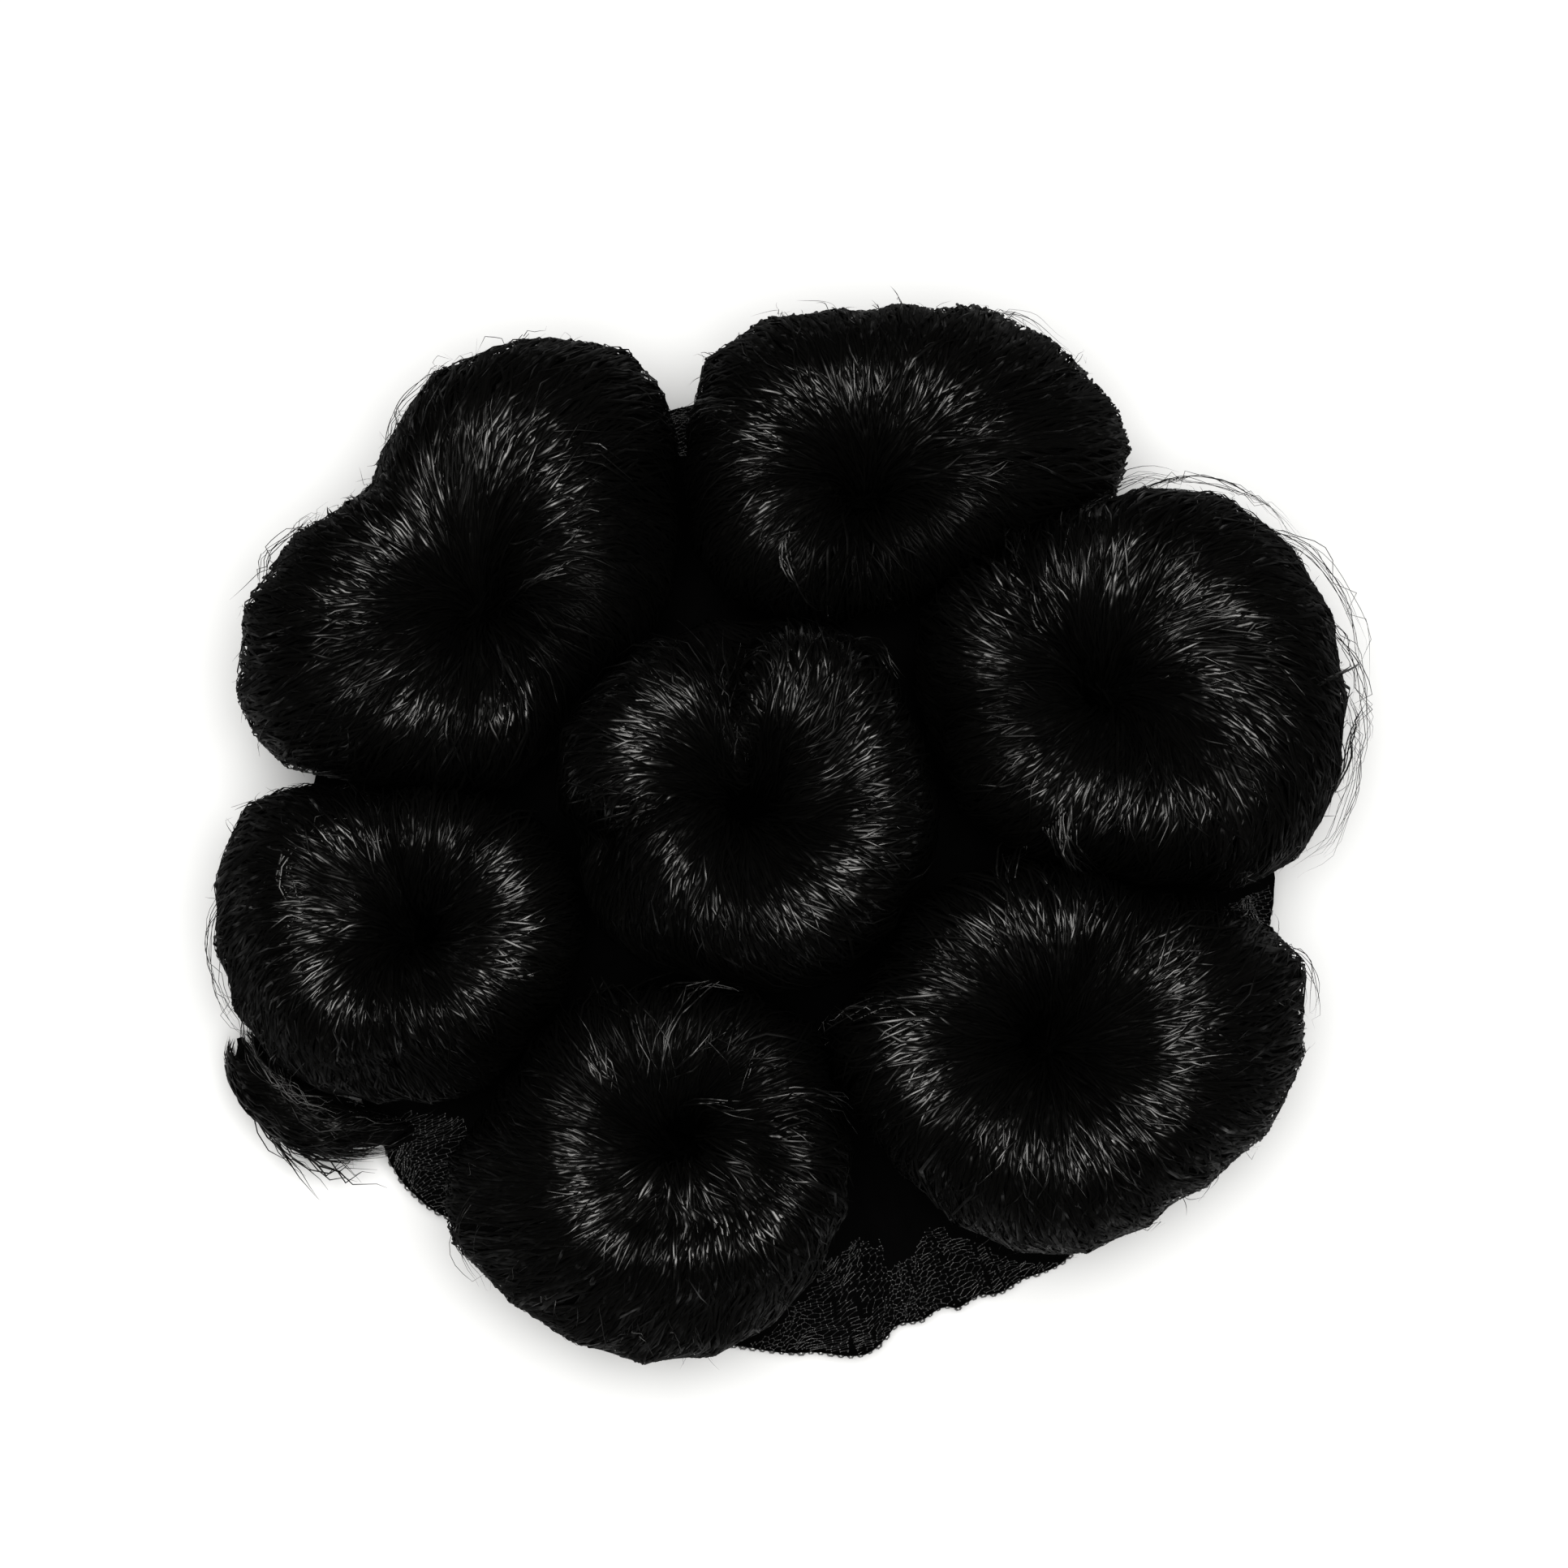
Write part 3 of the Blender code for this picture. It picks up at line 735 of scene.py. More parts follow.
def tuftTree(sizes):
    board, given, out = newGrowth("loose hairs", sizes)
    curves = board.geo("MeshToCurve", {"Mesh": given["Geometry"]})
    curves = board.geo("CurveSplineType", {"Curve": curves}, {"spline_type": "CATMULL_ROM"})
    curves = board.geo("ResampleCurve", {"Curve": curves, "Count": given["Points"]})
    copies = board.put("GeometryNodeDuplicateElements", {"domain": "SPLINE"},
                       {"Geometry": curves, "Amount": board.named("hairs", "INT")})
    strand = Wire(board, copies.outputs["Duplicate Index"]) + board.named("first")
    along = board.geo("SplineParameter", output="Factor")

    def chance(low, high, salt):
        return board.chance(low, high, given["Seed"] + salt, strand)

    def stray(salt):
        # a random way off the path, less of it upwards
        return board.xyz(chance(-1.0, 1.0, salt), chance(-1.0, 1.0, salt + 1), chance(-0.7, 0.7, salt + 2))

    spread = board.named("spread")
    offset = board.vector("ADD", board.scaled(stray(1), spread * 0.5),
                          board.scaled(stray(4), spread * along * along))
    length = board.geo("SplineLength", output="Length")
    beat = length * along / given["Crimp Length"] * waveTurn + chance(0.0, waveTurn, 7)
    crimp = board.xyz(beat.sum("SINE"), (beat * 0.83 + 1.3).sum("SINE"), (beat * 1.21).sum("SINE"))
    offset = board.vector("ADD", offset, board.scaled(crimp, given["Crimp"] * chance(0.2, 1.0, 8)))
    curves = board.geo("SetPosition", {"Geometry": Wire(board, copies.outputs[0]), "Offset": offset})
    ends = {"Start": chance(0.0, 0.12, 9), "End": chance(0.72, 1.0, 10)}
    curves = board.geo("TrimCurve", {"Curve": curves, **ends}, {"mode": "FACTOR"})
    upright = board.xyz(chance(-0.5, 0.5, 11), chance(-0.5, 0.5, 12), 1.0)
    curves = board.facing(curves, board.vector("NORMALIZE", upright))
    width = chance(given["Width Low"], given["Width High"], 13)
    ribbons = layRibbons(board, curves, strand, given["Count"], along, length * along / millimetre, width,
                         (0.01, 0.99))
    return finishGrowth(board, out, ribbons, given["Hair"])


# Crossing hairs: the curl, how many, how far they spread in mm, and the path as angle, way and lift in mm
crossingPaths = (
    ("curl_center", 14, 1.0, ((100, 0.54, 1.0), (98, 0.42, 1.0), (96, 0.30, 0.9), (94, 0.18, 0.8))),
    ("curl_center", 24, 3.4, ((97, 0.34, 0.8), (92, 0.45, 1.6), (84, 0.58, 2.8))),
    ("curl_center", 14, 3.0, ((97, 0.34, 0.8), (104, 0.45, 1.6), (113, 0.58, 2.4))),
    ("curl_center", 10, 1.4, ((188, 0.52, 1.0), (192, 0.42, 1.0), (198, 0.28, 0.8))),
    ("curl_center", 10, 2.0, ((60, 0.5, 1.0), (48, 0.62, 2.4), (36, 0.72, 3.0))),
    ("curl_top_left", 16, 0.9, ((-50, 0.10, 1.0), (-28, 0.22, 2.6), (-4, 0.34, 2.4), (8, 0.45, 1.0))),
    ("curl_top_left", 16, 2.4, ((72, 0.18, 0.8), (80, 0.33, 1.6), (84, 0.46, 2.0))),
    ("curl_top_left", 6, 0.8, ((100, 0.10, 0.8), (92, 0.18, 1.2), (88, 0.28, 1.2))),
    ("curl_top", 12, 1.6, ((214, 0.40, 1.0), (236, 0.46, 1.8), (256, 0.50, 1.6))),
    ("curl_top", 12, 2.2, ((150, 0.4, 0.8), (158, 0.55, 1.6), (164, 0.68, 2.0))),
    ("curl_right", 4, 0.8, ((-6, 0.50, 1.0), (3, 0.62, 2.6), (8, 0.74, 2.8))),
    ("curl_right", 4, 1.0, ((-24, 0.72, 1.0), (-14, 0.68, 2.2), (-3, 0.70, 2.6))),
    ("curl_right", 26, 3.4, ((142, 0.28, 0.8), (130, 0.45, 1.8), (116, 0.62, 3.0))),
    ("curl_right", 30, 3.8, ((232, 0.32, 0.8), (250, 0.48, 2.2), (264, 0.64, 3.0))),
    ("curl_right", 18, 3.0, ((60, 0.2, 0.8), (42, 0.35, 2.0), (26, 0.48, 2.2))),
    ("curl_right", 8, 1.6, ((10, 0.12, 0.8), (4, 0.22, 1.6), (2, 0.34, 1.6))),
    ("curl_bottom_right", 5, 0.8, ((-50, 0.06, 1.0), (-66, 0.16, 1.6), (-62, 0.26, 1.4))),
    ("curl_bottom_right", 18, 3.0, ((168, 0.32, 0.8), (174, 0.48, 1.8), (178, 0.62, 2.4))),
    ("curl_bottom_right", 12, 2.4, ((120, 0.3, 0.8), (108, 0.5, 2.0), (98, 0.66, 2.6))),
    ("curl_bottom", 5, 2.6, ((98, 0.20, 1.0), (82, 0.33, 2.6), (62, 0.40, 2.8), (46, 0.30, 1.8))),
    ("curl_bottom", 5, 3.0, ((112, 0.25, 1.2), (100, 0.40, 2.6), (80, 0.48, 3.0), (58, 0.50, 2.0))),
    ("curl_bottom", 6, 3.0, ((72, 0.14, 1.4), (50, 0.28, 3.0), (20, 0.38, 2.2))),
    ("curl_bottom", 5, 3.4, ((120, 0.45, 1.6), (96, 0.52, 2.6), (70, 0.56, 2.4), (54, 0.46, 1.8))),
    ("curl_bottom", 6, 3.6, ((80, 0.60, 1.2), (66, 0.52, 2.6), (56, 0.40, 2.8), (60, 0.30, 1.6))),
    ("curl_bottom", 6, 3.6, ((130, 0.58, 1.2), (118, 0.50, 2.4), (112, 0.38, 2.6), (120, 0.28, 1.4))),
    ("curl_bottom", 14, 2.6, ((152, 0.22, 1.0), (138, 0.38, 2.2), (124, 0.50, 2.8))),
    ("curl_bottom", 10, 2.2, ((35, 0.30, 1.0), (22, 0.45, 2.2), (10, 0.60, 2.6))),
    ("curl_left", 9, 2.0, ((152, 0.30, 1.0), (132, 0.36, 1.6), (108, 0.39, 1.6), (84, 0.38, 1.0))),
    ("curl_left", 7, 2.0, ((172, 0.42, 1.0), (152, 0.46, 1.4), (130, 0.46, 1.4), (108, 0.42, 1.0))),
    ("curl_left", 12, 2.4, ((118, 0.2, 0.8), (112, 0.4, 1.8), (108, 0.56, 2.4))),
)
# Flyaways: the same, but they stand well off the curl
flyawayPaths = (
    ("curl_right", 7, 1.6, ((112, 0.60, 0.5), (96, 0.70, 2.4), (78, 0.76, 3.0), (62, 0.74, 1.0))),
    ("curl_right", 9, 1.8, ((86, 0.62, 0.5), (68, 0.72, 2.4), (50, 0.78, 3.0), (36, 0.80, 1.6))),
    ("curl_right", 9, 2.0, ((52, 0.62, 0.5), (36, 0.74, 2.4), (18, 0.80, 3.6), (2, 0.82, 2.0))),
    ("curl_right", 9, 2.0, ((26, 0.60, 0.5), (11, 0.74, 2.6), (-5, 0.80, 3.6), (-20, 0.82, 1.6))),
    ("curl_right", 8, 1.8, ((4, 0.66, 0.5), (-14, 0.76, 2.6), (-34, 0.80, 2.6), (-50, 0.84, 1.0))),
    ("curl_right", 9, 1.8, ((128, 0.50, 0.5), (124, 0.62, 2.4), (116, 0.70, 3.6), (104, 0.74, 2.0))),
    ("curl_top_left", 6, 1.6, ((178, 0.62, 0.5), (166, 0.72, 2.4), (150, 0.76, 2.4), (138, 0.76, 1.0))),
    ("curl_top_left", 6, 1.4, ((120, 0.62, 0.5), (108, 0.72, 2.0), (96, 0.76, 1.6))),
    ("curl_left", 7, 1.6, ((160, 0.60, 0.5), (176, 0.72, 1.8), (196, 0.78, 2.0), (212, 0.80, 1.0))),
    ("curl_left", 12, 1.8, ((198, 0.62, 0.5), (214, 0.74, 2.2), (232, 0.82, 2.6), (248, 0.86, 1.6))),
    ("curl_bottom", 6, 1.4, ((186, 0.62, 0.5), (200, 0.72, 1.6), (218, 0.76, 1.4))),
    ("curl_bottom_right", 6, 1.4, ((30, 0.62, 0.5), (18, 0.72, 1.8), (4, 0.76, 1.2))),
    ("curl_top", 6, 1.4, ((66, 0.62, 0.5), (50, 0.72, 1.6), (36, 0.76, 1.0))),
)
# Short ends that stand off the outline, from which angle to which round each outer curl, leaning by turns
fringe = {"hairs": 2, "spread": 1.5, "every": 6, "leans": (4, -3, 6, -5, 2) * 6,
          "spans": (("curl_top_left", 66, 222), ("curl_top", 24, 150), ("curl_right", -58, 100),
                    ("curl_bottom_right", -112, 36), ("curl_bottom", 182, 318), ("curl_left", 104, 250))}
fringePaths = tuple(
    (node, fringe["hairs"], fringe["spread"],
     ((angle, 0.58, 0.2), (angle + lean, 0.68, 0.9), (angle + 2 * lean, 0.75, 1.6)))
    for node, first, last in fringe["spans"]
    for lean, angle in zip(fringe["leans"], range(first, last, fringe["every"])))
# The lower left: loops over the tucked lock and its wisps, as places in the frame in mm
tailLoops = (
    (9, 2.0, ((-68.8, -28.8, 16), (-66.8, -35.9, 13), (-59.3, -40.0, 12), (-50.6, -40.0, 12),
              (-46.0, -37.2, 14))),
    (8, 2.0, ((-66.9, -31.2, 18), (-64.4, -37.4, 16), (-58.0, -39.8, 14), (-51.4, -38.9, 14))),
    (10, 2.4, ((-69.4, -36.4, 9), (-65.1, -41.7, 7), (-58.5, -44.3, 6), (-53.1, -45.8, 5))),
    (9, 2.4, ((-73.4, -30.6, 13), (-70.4, -37.6, 9), (-66.2, -42.7, 6), (-61.9, -46.3, 5))),
)


def onCurl(node, angle, way, lift):
    # a place over a curl's flow, in mm
    points, outward = flows[node]
    rings, columns, _ = points.shape
    ring = min(max(way, 0.0), 1.0) * (flowGrid["rings"] - 1)
    column = angle % 360 / 360 * columns
    low = int(ring)
    left = int(column)
    place = np.zeros(3)
    for below, ringShare in ((0, 1 - ring + low), (1, ring - low)):
        for beside, columnShare in ((0, 1 - column + left), (1, column - left)):
            at = (min(low + below, rings - 1), (left + beside) % columns)
            place += (points[at] + outward[at] * lift * millimetre) * ringShare * columnShare
    return place / millimetre


def pathsOver(paths):
    return [(hairs, spread, [onCurl(node, *step) for step in path]) for node, hairs, spread, path in paths]


def pathPiece(name, paths):
    # the paths as chains of edges that carry how many hairs they hold
    corners = []
    edges = []
    marks = []
    first = 0
    for hairs, spread, path in paths:
        for step, spot in enumerate(path):
            if step:
                edges.append((len(corners) - 1, len(corners)))
            corners.append([part * millimetre for part in spot])
            marks.append((hairs, spread * millimetre, first))
        first += hairs
    mesh = bpy.data.meshes.new(name)
    mesh.from_pydata(corners, edges, [])
    for label, kind, values in zip(("hairs", "spread", "first"), ("INT", "FLOAT", "FLOAT"), zip(*marks)):
        mark(mesh, label, kind, values)
    return newPiece(name, mesh), float(first)


tufting = tuftTree({**looseHairs, "Hair": looseFinish, "Count": 1.0})
for name, paths, sizes, finish in (
        ("flyaway_hairs", pathsOver(flyawayPaths + fringePaths), looseHairs, looseFinish),
        ("crossing_hairs", pathsOver(crossingPaths), crossingHairs, looseFinish),
        ("tail_loops", tailLoops, crossingHairs, tuckedFinish)):
    guide, count = pathPiece(name + "_paths", paths)
    hand(grow(tufting, guide, name, {**sizes, "Hair": finish, "Count": count}))
    bpy.data.objects.remove(guide)


# The net cap: a gathered dark skin with the knitted cells laid over it, outside and inside

capFacts = {
    "middle": (0.5, -2.153), "columns": 240, "rings": 40, "wall": 0.8, "edgeSlice": 2.6, "missedDrop": 0.4,
    "smoothings": 2, "pleats": 46, "pleatStart": 0.5, "pleatDepth": 0.35, "pleatSharp": 0.7,
    "waver": ((1.6, 5, 1), (1.1, 13, 0)), "vary": (0.3, 7, 2), "edgeFlat": 0.6, "edgeDraw": 0.5,
}
capMiddle = np.array(capFacts["middle"]) * millimetre
# Deeper creases in the cap's free edge: at which angle, how wide in degrees and how deep in mm
creases = ((-86.0, 2.6, 1.3), (-76.5, 1.8, 3.4), (-71.0, 1.3, 2.6), (-66.5, 1.5, 1.5), (-60.0, 2.2, 1.4),
           (-52.0, 1.8, 0.9), (-96.0, 2.4, 1.2), (-132.0, 2.0, 1.0), (-146.0, 2.4, 1.1))


def readCap():
    # places on the cap's outer face over a round grid, their angles, and their shares of its reach
    facts = capFacts
    shape = treeOf("net_cap")
    offset = cornersOf("net_cap")[:, :2] - capMiddle
    reach = np.hypot(offset[:, 0], offset[:, 1])
    bearing = np.degrees(np.arctan2(offset[:, 1], offset[:, 0])) % 360
    angles = np.arange(facts["columns"]) * 360 / facts["columns"]
    edge = roundMean(np.array([reach[np.abs((bearing - angle + 180) % 360 - 180) < facts["edgeSlice"]].max()
                               for angle in angles]), 2)
    shares = np.linspace(0, 1, facts["rings"] + 1)[1:]
    points = np.zeros((facts["rings"], facts["columns"], 3))
    for column, angle in enumerate(np.radians(angles)):
        for ring, share in enumerate(shares):
            x, y = capMiddle + np.array((math.cos(angle), math.sin(angle))) * edge[column] * share
            hit = shape.ray_cast(Vector((x, y, 0.1)), Vector((0, 0, -1)))[0]
            missed = points[ring - 1, column, 2] - facts["missedDrop"] * millimetre
            points[ring, column] = (x, y, hit.z if hit is not None else missed)
    heights = points[:, :, 2]
    for _ in range(facts["smoothings"]):
        heights = (np.roll(heights, 1, 1) + 2 * heights + np.roll(heights, -1, 1)) / 4
        heights[1:-1] = (heights[:-2] + 2 * heights[1:-1] + heights[2:]) / 4
    points[:, :, 2] = heights
    return points, np.radians(angles), shares


def capSkin():
    # the cap's outer and inner face, with pleats and creases that deepen towards its edge
    facts = capFacts
    points, angles, shares = readCap()
    rise = np.clip((shares - facts["pleatStart"]) / (1 - facts["pleatStart"]), 0, 1)[:, None]
    wave = facts["pleats"] * angles + sum(much * np.sin(times * angles + start)
                                          for much, times, start in facts["waver"])
    much, times, start = facts["vary"]
    sink = -np.abs(np.sin(wave)) ** facts["pleatSharp"] * facts["pleatDepth"]
    sink = sink * (1 - much + much * np.sin(times * angles + start))
    for at, width, depth in creases:
        bend = np.degrees(np.angle(np.exp(1j * (angles - math.radians(at))))) / width
        sink = sink - depth * np.exp(-bend ** 2)
    sink = sink * rise * millimetre
    outward = points - (*capMiddle, 0)
    outward[:, :, 2] = 0
    reach = np.linalg.norm(outward, axis=2)
    outward /= reach[:, :, None]
    slope = np.gradient(points[:, :, 2], axis=0) / np.maximum(np.gradient(reach, axis=0), 1e-6)
    outer = points + outward * (sink * facts["edgeDraw"] * rise ** 2)[:, :, None]
    outer[:, :, 2] += sink * (1 - facts["edgeFlat"] * rise ** 4)
    normal = np.dstack((-slope[:, :, None] * outward[:, :, :2], np.ones_like(slope)))
    normal /= np.linalg.norm(normal, axis=2, keepdims=True)
    return outer, outer - normal * facts["wall"] * millimetre


netSizes = {
    "net_outside": {"Side": 1.0, "Cell": 0.00076, "Shade": 0.014, "Inner": 0.0575},
    "net_inside": {"Side": -1.0, "Cell": 0.0026, "Shade": 0.0, "Inner": 0.0},
}
netFacts = {"thread": 0.00007, "knot": 0.00016, "span": 0.15, "overhang": 1.6, "rowHeight": 0.866,
            "shear": 0.57735, "broadScale": 70.0, "broad": 0.012, "fineScale": 600.0, "fine": 0.0016,
            "raised": 0.2, "wanderScale": 160.0, "wander": 0.014}


def netTree(sizes):
    board, given, out = newGrowth("knitted net", sizes)
    facts = netFacts
    place = board.geo("InputPosition")
    x, y, _ = board.parts(place)
    # six-sided cells: the dual of a sheared triangle sheet, a little uneven, dropped on the cap's face
    row = given["Cell"] * facts["rowHeight"]
    across = (facts["span"] * facts["overhang"] / given["Cell"]).sum("FLOOR")
    up = (facts["span"] / row).sum("FLOOR")
    sheet = board.geo("MeshGrid", {"Size X": across * given["Cell"], "Size Y": up * row,
                                   "Vertices X": across + 1, "Vertices Y": up + 1}, output="Mesh")
    sheet = board.geo("Triangulate", {"Mesh": sheet}, {"quad_method": "FIXED"})
    sheared = board.xyz(x + y * facts["shear"], y, 0.0)
    sheet = board.geo("SetPosition", {"Geometry": sheet, "Position": sheared})
    cells = board.geo("DualMesh", {"Mesh": sheet})

    def warp(scale, much):
        tint = board.noise(place, scale, 1.0, "Color")
        return board.scaled(board.vector("SUBTRACT", tint, (0.5, 0.5, 0.5)), much)

    bent = board.vector("ADD", warp(facts["broadScale"], facts["broad"]),
                        warp(facts["fineScale"], facts["fine"]))
    flat = board.vector("MULTIPLY", board.vector("ADD", place, bent), (1.0, 1.0, 0.0))
    above = board.vector("ADD", flat, board.xyz(0.0, 0.0, given["Side"] * 0.1))
    drop = board.put("GeometryNodeRaycast", None,
                     {"Target Geometry": given["Geometry"], "Source Position": above,
                      "Ray Direction": board.xyz(0.0, 0.0, given["Side"] * -1.0), "Ray Length": 0.2})
    found = {socket.name: Wire(board, socket) for socket in drop.outputs if socket.enabled}
    cells = board.keep(cells, "onCap", found["Is Hit"], "BOOLEAN")
    cells = board.keep(cells, "facing", found["Hit Normal"], "FLOAT_VECTOR")
    raised = board.scaled(found["Hit Normal"], given["Thread"] * facts["raised"])
    laid = board.vector("ADD", found["Hit Position"], raised)
    cells = board.geo("SetPosition", {"Geometry": cells, "Position": laid})
    # where hair lies close over the net nothing shows, so no thread is spent there
    cover = board.geo("ObjectInfo", {"Object": given["Cover"]}, {"transform_space": "ORIGINAL"}, "Geometry")
    hidden = board.geo("Raycast", {"Target Geometry": cover, "Source Position": place,
                                   "Ray Direction": (0.0, 0.0, 1.0), "Ray Length": given["Shade"]},
                       output="Is Hit")
    spot = board.vector("MULTIPLY", place, (1.0, 1.0, 0.0))
    wander = (board.noise(spot, facts["wanderScale"], 2.0) - 0.5) * facts["wander"]
    central = (board.vector("LENGTH", spot) + wander).sum("LESS_THAN", given["Inner"])
    missed = board.logic("NOT", board.named("onCap", "BOOLEAN"))
    gone = board.logic("OR", board.logic("OR", hidden, central), missed)
    cells = board.geo("DeleteGeometry", {"Geometry": cells, "Selection": gone},
                      {"domain": "POINT", "mode": "ALL"})
    threads = board.facing(board.geo("MeshToCurve", {"Mesh": cells}), board.named("facing", "FLOAT_VECTOR"))
    threads = board.geo("CurveToMesh", {"Curve": threads, "Profile Curve": board.arc(0.5, 180.0),
                                        "Scale": given["Thread"]})
    bead = board.geo("MeshUVSphere", {"Segments": 4, "Rings": 3, "Radius": given["Knot"]}, output="Mesh")
    knots = board.geo("InstanceOnPoints", {"Points": cells, "Instance": bead})
    both = board.put("GeometryNodeJoinGeometry")
    for part in (threads, knots):
        board.tree.links.new(part.socket, both.inputs[0])
    both = board.geo("RealizeInstances", {"Geometry": Wire(board, both.outputs[0])})
    plan = board.xyz(x / planWidth + 0.5, y / planWidth + 0.5, 0.0)
    return finishGrowth(board, out, board.keep(both, "OFBake", plan, "FLOAT2", "CORNER"), given["Net"])


def hairCover():
    # all the hair's solids as one cover that shades the net
    bm = bmesh.new()
    for node in (*curlTable, tailFacts["node"]):
        bm.from_mesh(nodes[node].data)
    mesh = bpy.data.meshes.new("cover")
    bm.to_mesh(mesh)
    bm.free()
    return newPiece("cover", mesh)


def closeRim(mesh):
    # joins the outer and the inner face along the rim
    bm = bmesh.new()
    bm.from_mesh(mesh)
    bmesh.ops.bridge_loops(bm, edges=[edge for edge in bm.edges if edge.is_boundary])
    bmesh.ops.recalc_face_normals(bm, faces=bm.faces)
    for face in bm.faces:
        face.smooth = True
    bm.to_mesh(mesh)
    bm.free()


def makeCap():
    # the cloth and both nets; returns how far the edge reaches in every direction
    outer, inner = capSkin()
    crown = outer[0].mean(axis=0)
    under = crown - (0, 0, capFacts["wall"] * millimetre)
    faces = []
    for name, points, pole, half in (("cap_outside", outer, crown, 0.0), ("cap_inside", inner, under, 0.5)):
        # the two faces' plans lie side by side in the baked map
        maps = {"OFBake": lambda ring, column, spot, half=half: (
            0.25 + half + spot.x / planWidth / 2, 0.5 + spot.y / planWidth)}
        faces.append(newPiece(name, ringSkin(name, points, maps, (pole, None), half > 0)))
    cover = hairCover()
    common = {"Thread": netFacts["thread"], "Knot": netFacts["knot"], "Cover": cover, "Net": threadFinish}
    netting = netTree({**common, **netSizes["net_outside"]})
    for face, (name, sizes) in zip(faces, netSizes.items()):
        hand(grow(netting, face, name, {**common, **sizes}))
    bpy.data.objects.remove(cover)
    cap = joined("cap_cloth", faces)
    closeRim(cap.data)
    cap.data.materials.clear()
    cap.data.materials.append(clothFinish)
    hand(cap, "net_cap")
    return np.linalg.norm(outer[-1, :, :2] - capMiddle, axis=1)


# The rim band: an elastic band with two rows of beady stitches and the thread that crosses between them

hemFacts = {"halfWidth": 1.5, "halfHeight": 1.45, "rings": 360, "sides": 12, "roundness": 0.6, "inset": 0.97,
            "stitches": 316, "bead": 0.4, "beadShape": (1.35, 0.85, 0.85), "beadSizes": (0.7, 1.2),
            "thread": 0.2, "rows": ((0.42, 0.95), (0.98, 0.1))}


def beadTree(sizes):
    board, given, out = newGrowth("beady stitches", sizes)
    bead = board.geo("MeshUVSphere", {"Segments": 6, "Rings": 4, "Radius": given["Size"]}, output="Mesh")
    bead = board.geo("Transform", {"Geometry": bead, "Scale": hemFacts["beadShape"]})
    curves = board.geo("MeshToCurve", {"Mesh": given["Geometry"]})
    tangent = board.geo("InputTangent")
    turn = board.wire("FunctionNodeAlignRotationToVector", {"axis": "X"}, {"Vector": tangent})
    points = board.geo("CurveToPoints", {"Curve": board.keep(curves, "turned", turn, "QUATERNION")},
                       {"mode": "EVALUATED"})
    size = board.chance(*hemFacts["beadSizes"], given["Seed"])
    beads = board.geo("InstanceOnPoints", {"Points": points, "Instance": bead, "Scale": size,
                                           "Rotation": board.named("turned", "QUATERNION")})
    return finishGrowth(board, out, beads, given["Net"])


def threadTree(sizes):
    board, given, out = newGrowth("crossing thread", sizes)
    curves = board.geo("MeshToCurve", {"Mesh": given["Geometry"]})
    profile = board.geo("CurvePrimitiveCircle", {"Resolution": 3, "Radius": given["Size"]},
                        {"mode": "RADIUS"}, "Curve")
    thread = board.geo("CurveToMesh", {"Curve": curves, "Profile Curve": profile})
    return finishGrowth(board, out, thread, given["Net"])


def growRound(tree, name, corners, sizes):
    # grows along a closed chain of corners
    count = len(corners)
    mesh = bpy.data.meshes.new(name)
    mesh.from_pydata(corners, [(corner, (corner + 1) % count) for corner in range(count)], [])
    chain = newPiece(name + "_path", mesh)
    grown = grow(tree, chain, name, sizes)
    bpy.data.objects.remove(chain)
    return grown


def layFlat(mesh):
    # a baked map of the plan for what lies in a thin layer
    sheet = mesh.uv_layers.get("OFBake") or mesh.uv_layers.new(name="OFBake")
    corners = readAll(mesh.loops, "vertex_index", 1, np.int32)[:, 0]
    plan = 0.5 + readAll(mesh.vertices, "co", 3)[corners, :2] / planWidth
    sheet.uv.foreach_set("vector", plan.ravel())


def makeHem(edge):
    facts = hemFacts
    angles = np.arange(len(edge)) * circle / len(edge)
    half = facts["halfWidth"] * millimetre
    tall = facts["halfHeight"] * millimetre

    def rimPoint(angle, out, up):
        # out and up run from -1 to 1 over the band's section
        reach = np.interp(angle % circle, angles, edge, period=circle) - half + out * half
        x, y = capMiddle + (reach * math.cos(angle), reach * math.sin(angle))
        return (x, y, tall + up * tall)

    def bulge(part):
        return math.copysign(abs(part) ** facts["roundness"], part)

    turns = np.arange(facts["sides"]) * circle / facts["sides"]
    section = [(bulge(math.cos(turn)) * facts["inset"], bulge(math.sin(turn))) for turn in turns]
    points = np.array([[rimPoint(angle, out, up) for out, up in section]
                       for angle in np.arange(facts["rings"]) * circle / facts["rings"]])
    maps = {"OFBake": lambda ring, side, _: (
        0.01 + 0.98 * ring / facts["rings"], 0.02 + 0.3 * side / facts["sides"])}
    band = newPiece("hem_band", ringSkin("hem_band", points, maps, closed=True), clothFinish)
    hand(band, "rim_band")

    sizes = {"Size": facts["bead"] * millimetre, "Net": beadFinish, "Seed": 0}
    beads = beadTree(sizes)
    parts = []
    for row, place in enumerate(facts["rows"]):
        turns = (np.arange(facts["stitches"]) + 0.5 * row) * circle / facts["stitches"]
        corners = [rimPoint(turn, *place) for turn in turns]
        parts.append(growRound(beads, "stitches_%d" % row, corners, {**sizes, "Seed": row}))
    turns = np.arange(facts["stitches"] * 2) * math.pi / facts["stitches"]
    corners = [rimPoint(turn, *facts["rows"][step % 2]) for step, turn in enumerate(turns)]
    sizes = {"Size": facts["thread"] * millimetre, "Net": threadFinish}
    parts.append(growRound(threadTree(sizes), "crossing", corners, sizes))
    stitches = joined("hem_stitches", parts)
    layFlat(stitches.data)
    hand(stitches)


makeHem(makeCap())


# The studio: a pale floor, one broad soft light from above and a camera at the photograph's angle

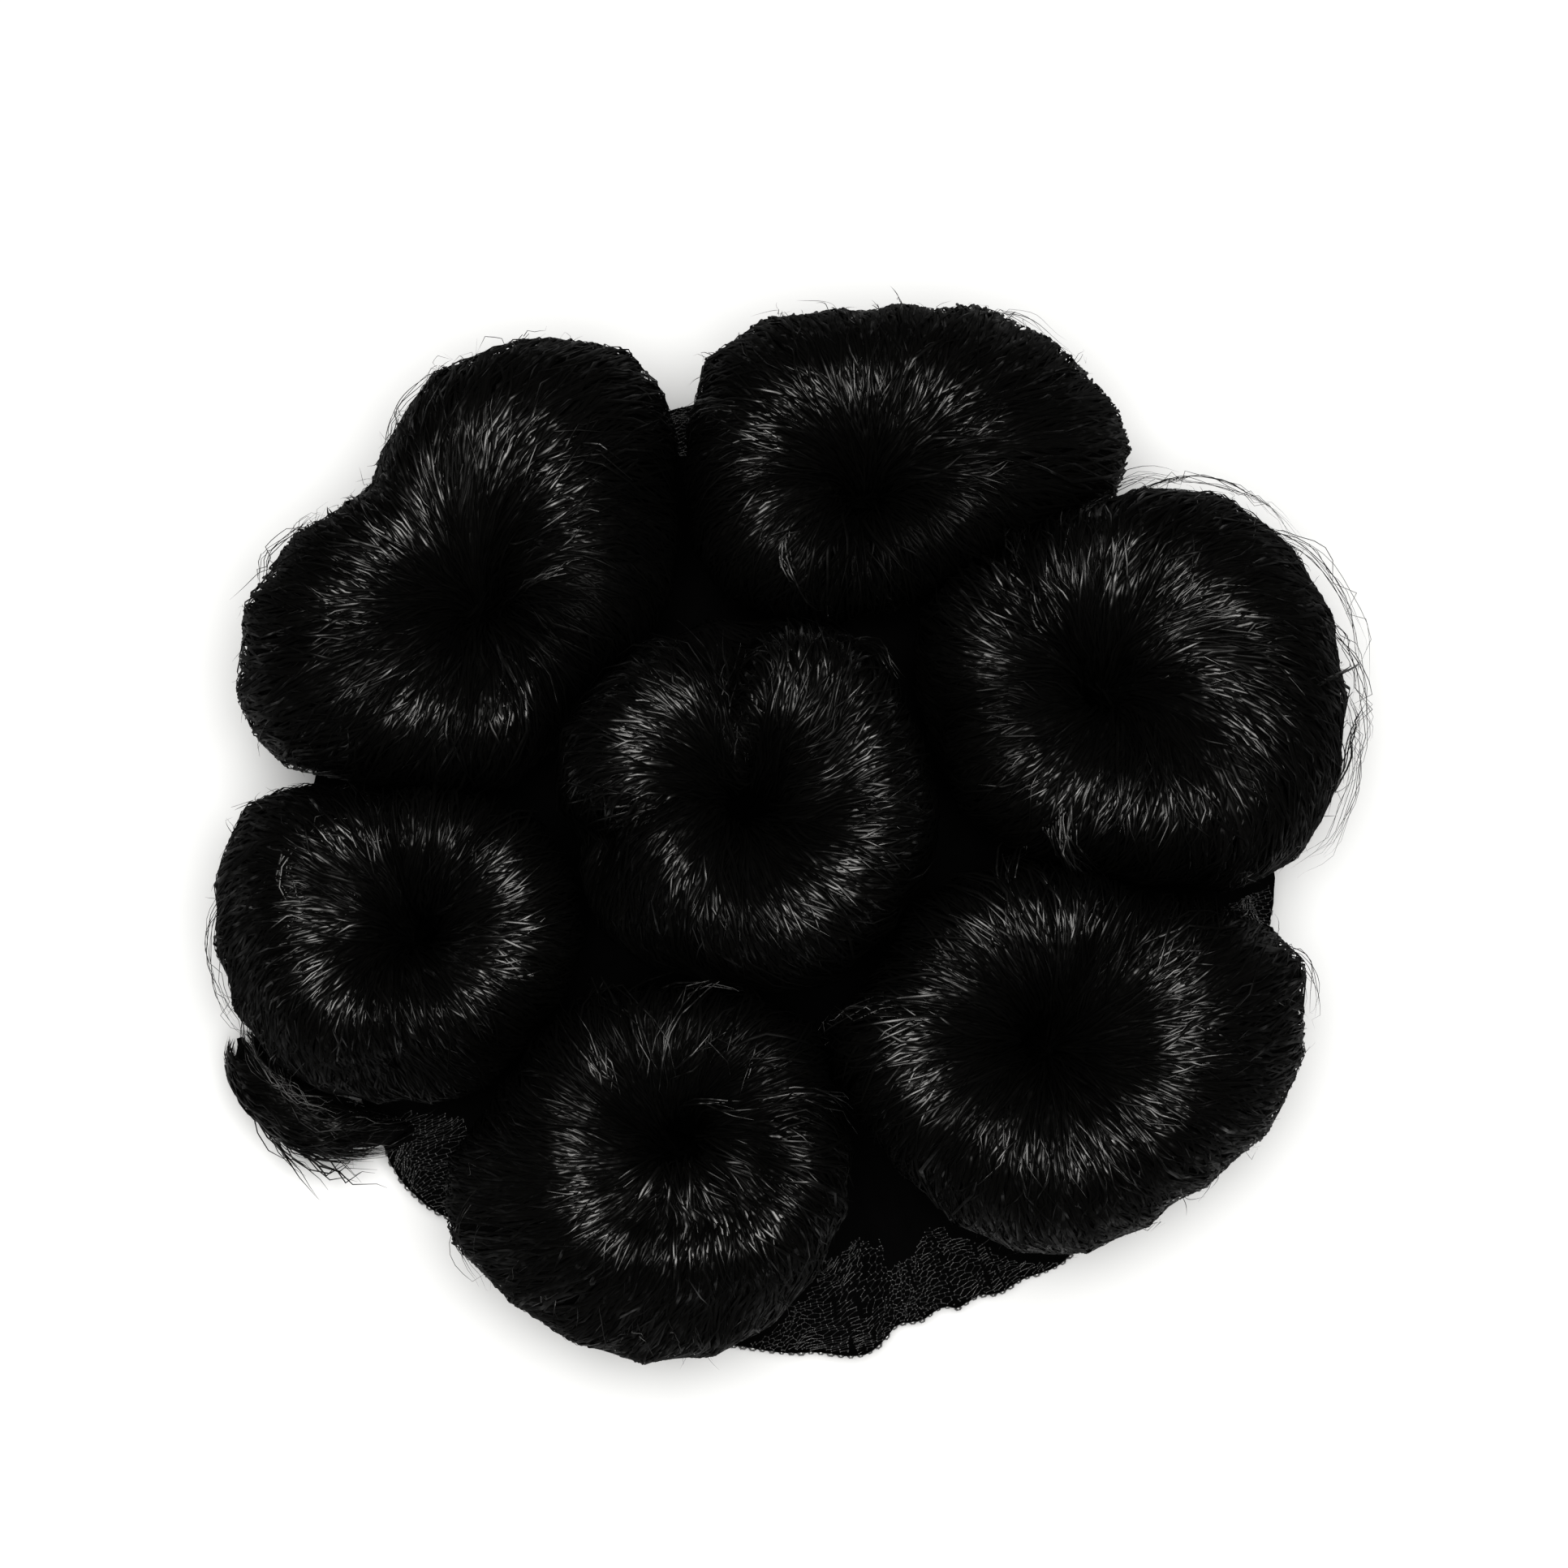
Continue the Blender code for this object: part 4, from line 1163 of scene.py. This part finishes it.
studio = {
    "floorTone": (0.35, 0.354, 0.36, 1.0), "floorRoughness": 0.9, "floorSize": 3.0,
    "keyStrength": 10.0, "keyTone": (1.0, 0.985, 0.955), "keyWidth": 44.0, "keyFrom": (0.02, -0.10, 0.85),
    "skyLight": 0.03, "backdrop": 0.9,
}


def setStage():
    scene = bpy.context.scene
    half = studio["floorSize"] / 2
    mesh = bpy.data.meshes.new("floor")
    corners = [(-half, -half, 0), (half, -half, 0), (half, half, 0), (-half, half, 0)]
    mesh.from_pydata(corners, [], [(0, 1, 2, 3)])
    paper = bpy.data.materials.new("pale paper")
    paper.use_nodes = True
    shader = paper.node_tree.nodes["Principled BSDF"]
    shader.inputs["Base Color"].default_value = studio["floorTone"]
    shader.inputs["Roughness"].default_value = studio["floorRoughness"]
    shader.inputs["Specular IOR Level"].default_value = 0.0
    newPiece("floor", mesh, paper)

    lamp = bpy.data.lights.new("soft light", "SUN")
    lamp.angle = math.radians(studio["keyWidth"])
    lamp.energy = studio["keyStrength"]
    lamp.color = studio["keyTone"]
    key = bpy.data.objects.new("soft light", lamp)
    key.location = studio["keyFrom"]
    key.rotation_euler = Vector(studio["keyFrom"]).to_track_quat("Z", "Y").to_euler()
    scene.collection.objects.link(key)

    world = bpy.data.worlds.new("studio")
    world.use_nodes = True
    board = Board(world.node_tree)
    seen = board.wire("ShaderNodeLightPath", output="Is Camera Ray")
    strength = studio["skyLight"] + seen * (studio["backdrop"] - studio["skyLight"])
    background = world.node_tree.nodes["Background"]
    background.inputs["Color"].default_value = (1, 1, 1, 1)
    board.tree.links.new(strength.socket, background.inputs["Strength"])
    scene.world = world
    scene.view_settings.view_transform = "Standard"


shot = {"focus": (0.0006, -0.0027, 0.030), "elevation": 79.0, "distance": 0.75, "lens": 130.4, "sensor": 36.0,
        "framePixels": 1932, "focusPixel": (970, 1030), "pixelsPerMetre": 9333.0}


def setCamera():
    scene = bpy.context.scene
    rise = math.radians(shot["elevation"])
    back = Vector((0, -math.cos(rise), math.sin(rise)))
    right = Vector((1, 0, 0))
    up = back.cross(right)
    middle = shot["framePixels"] / 2
    aim = Vector(shot["focus"])
    aim += right * (middle - shot["focusPixel"][0]) / shot["pixelsPerMetre"]
    aim += up * (shot["focusPixel"][1] - middle) / shot["pixelsPerMetre"]
    lens = bpy.data.cameras.new("camera")
    lens.lens = shot["lens"]
    lens.sensor_width = shot["sensor"]
    camera = bpy.data.objects.new("camera", lens)
    camera.location = aim + back * shot["distance"]
    camera.rotation_euler = back.to_track_quat("Z", "Y").to_euler()
    scene.collection.objects.link(camera)
    scene.camera = camera


setStage()
setCamera()
print("stage and camera set")
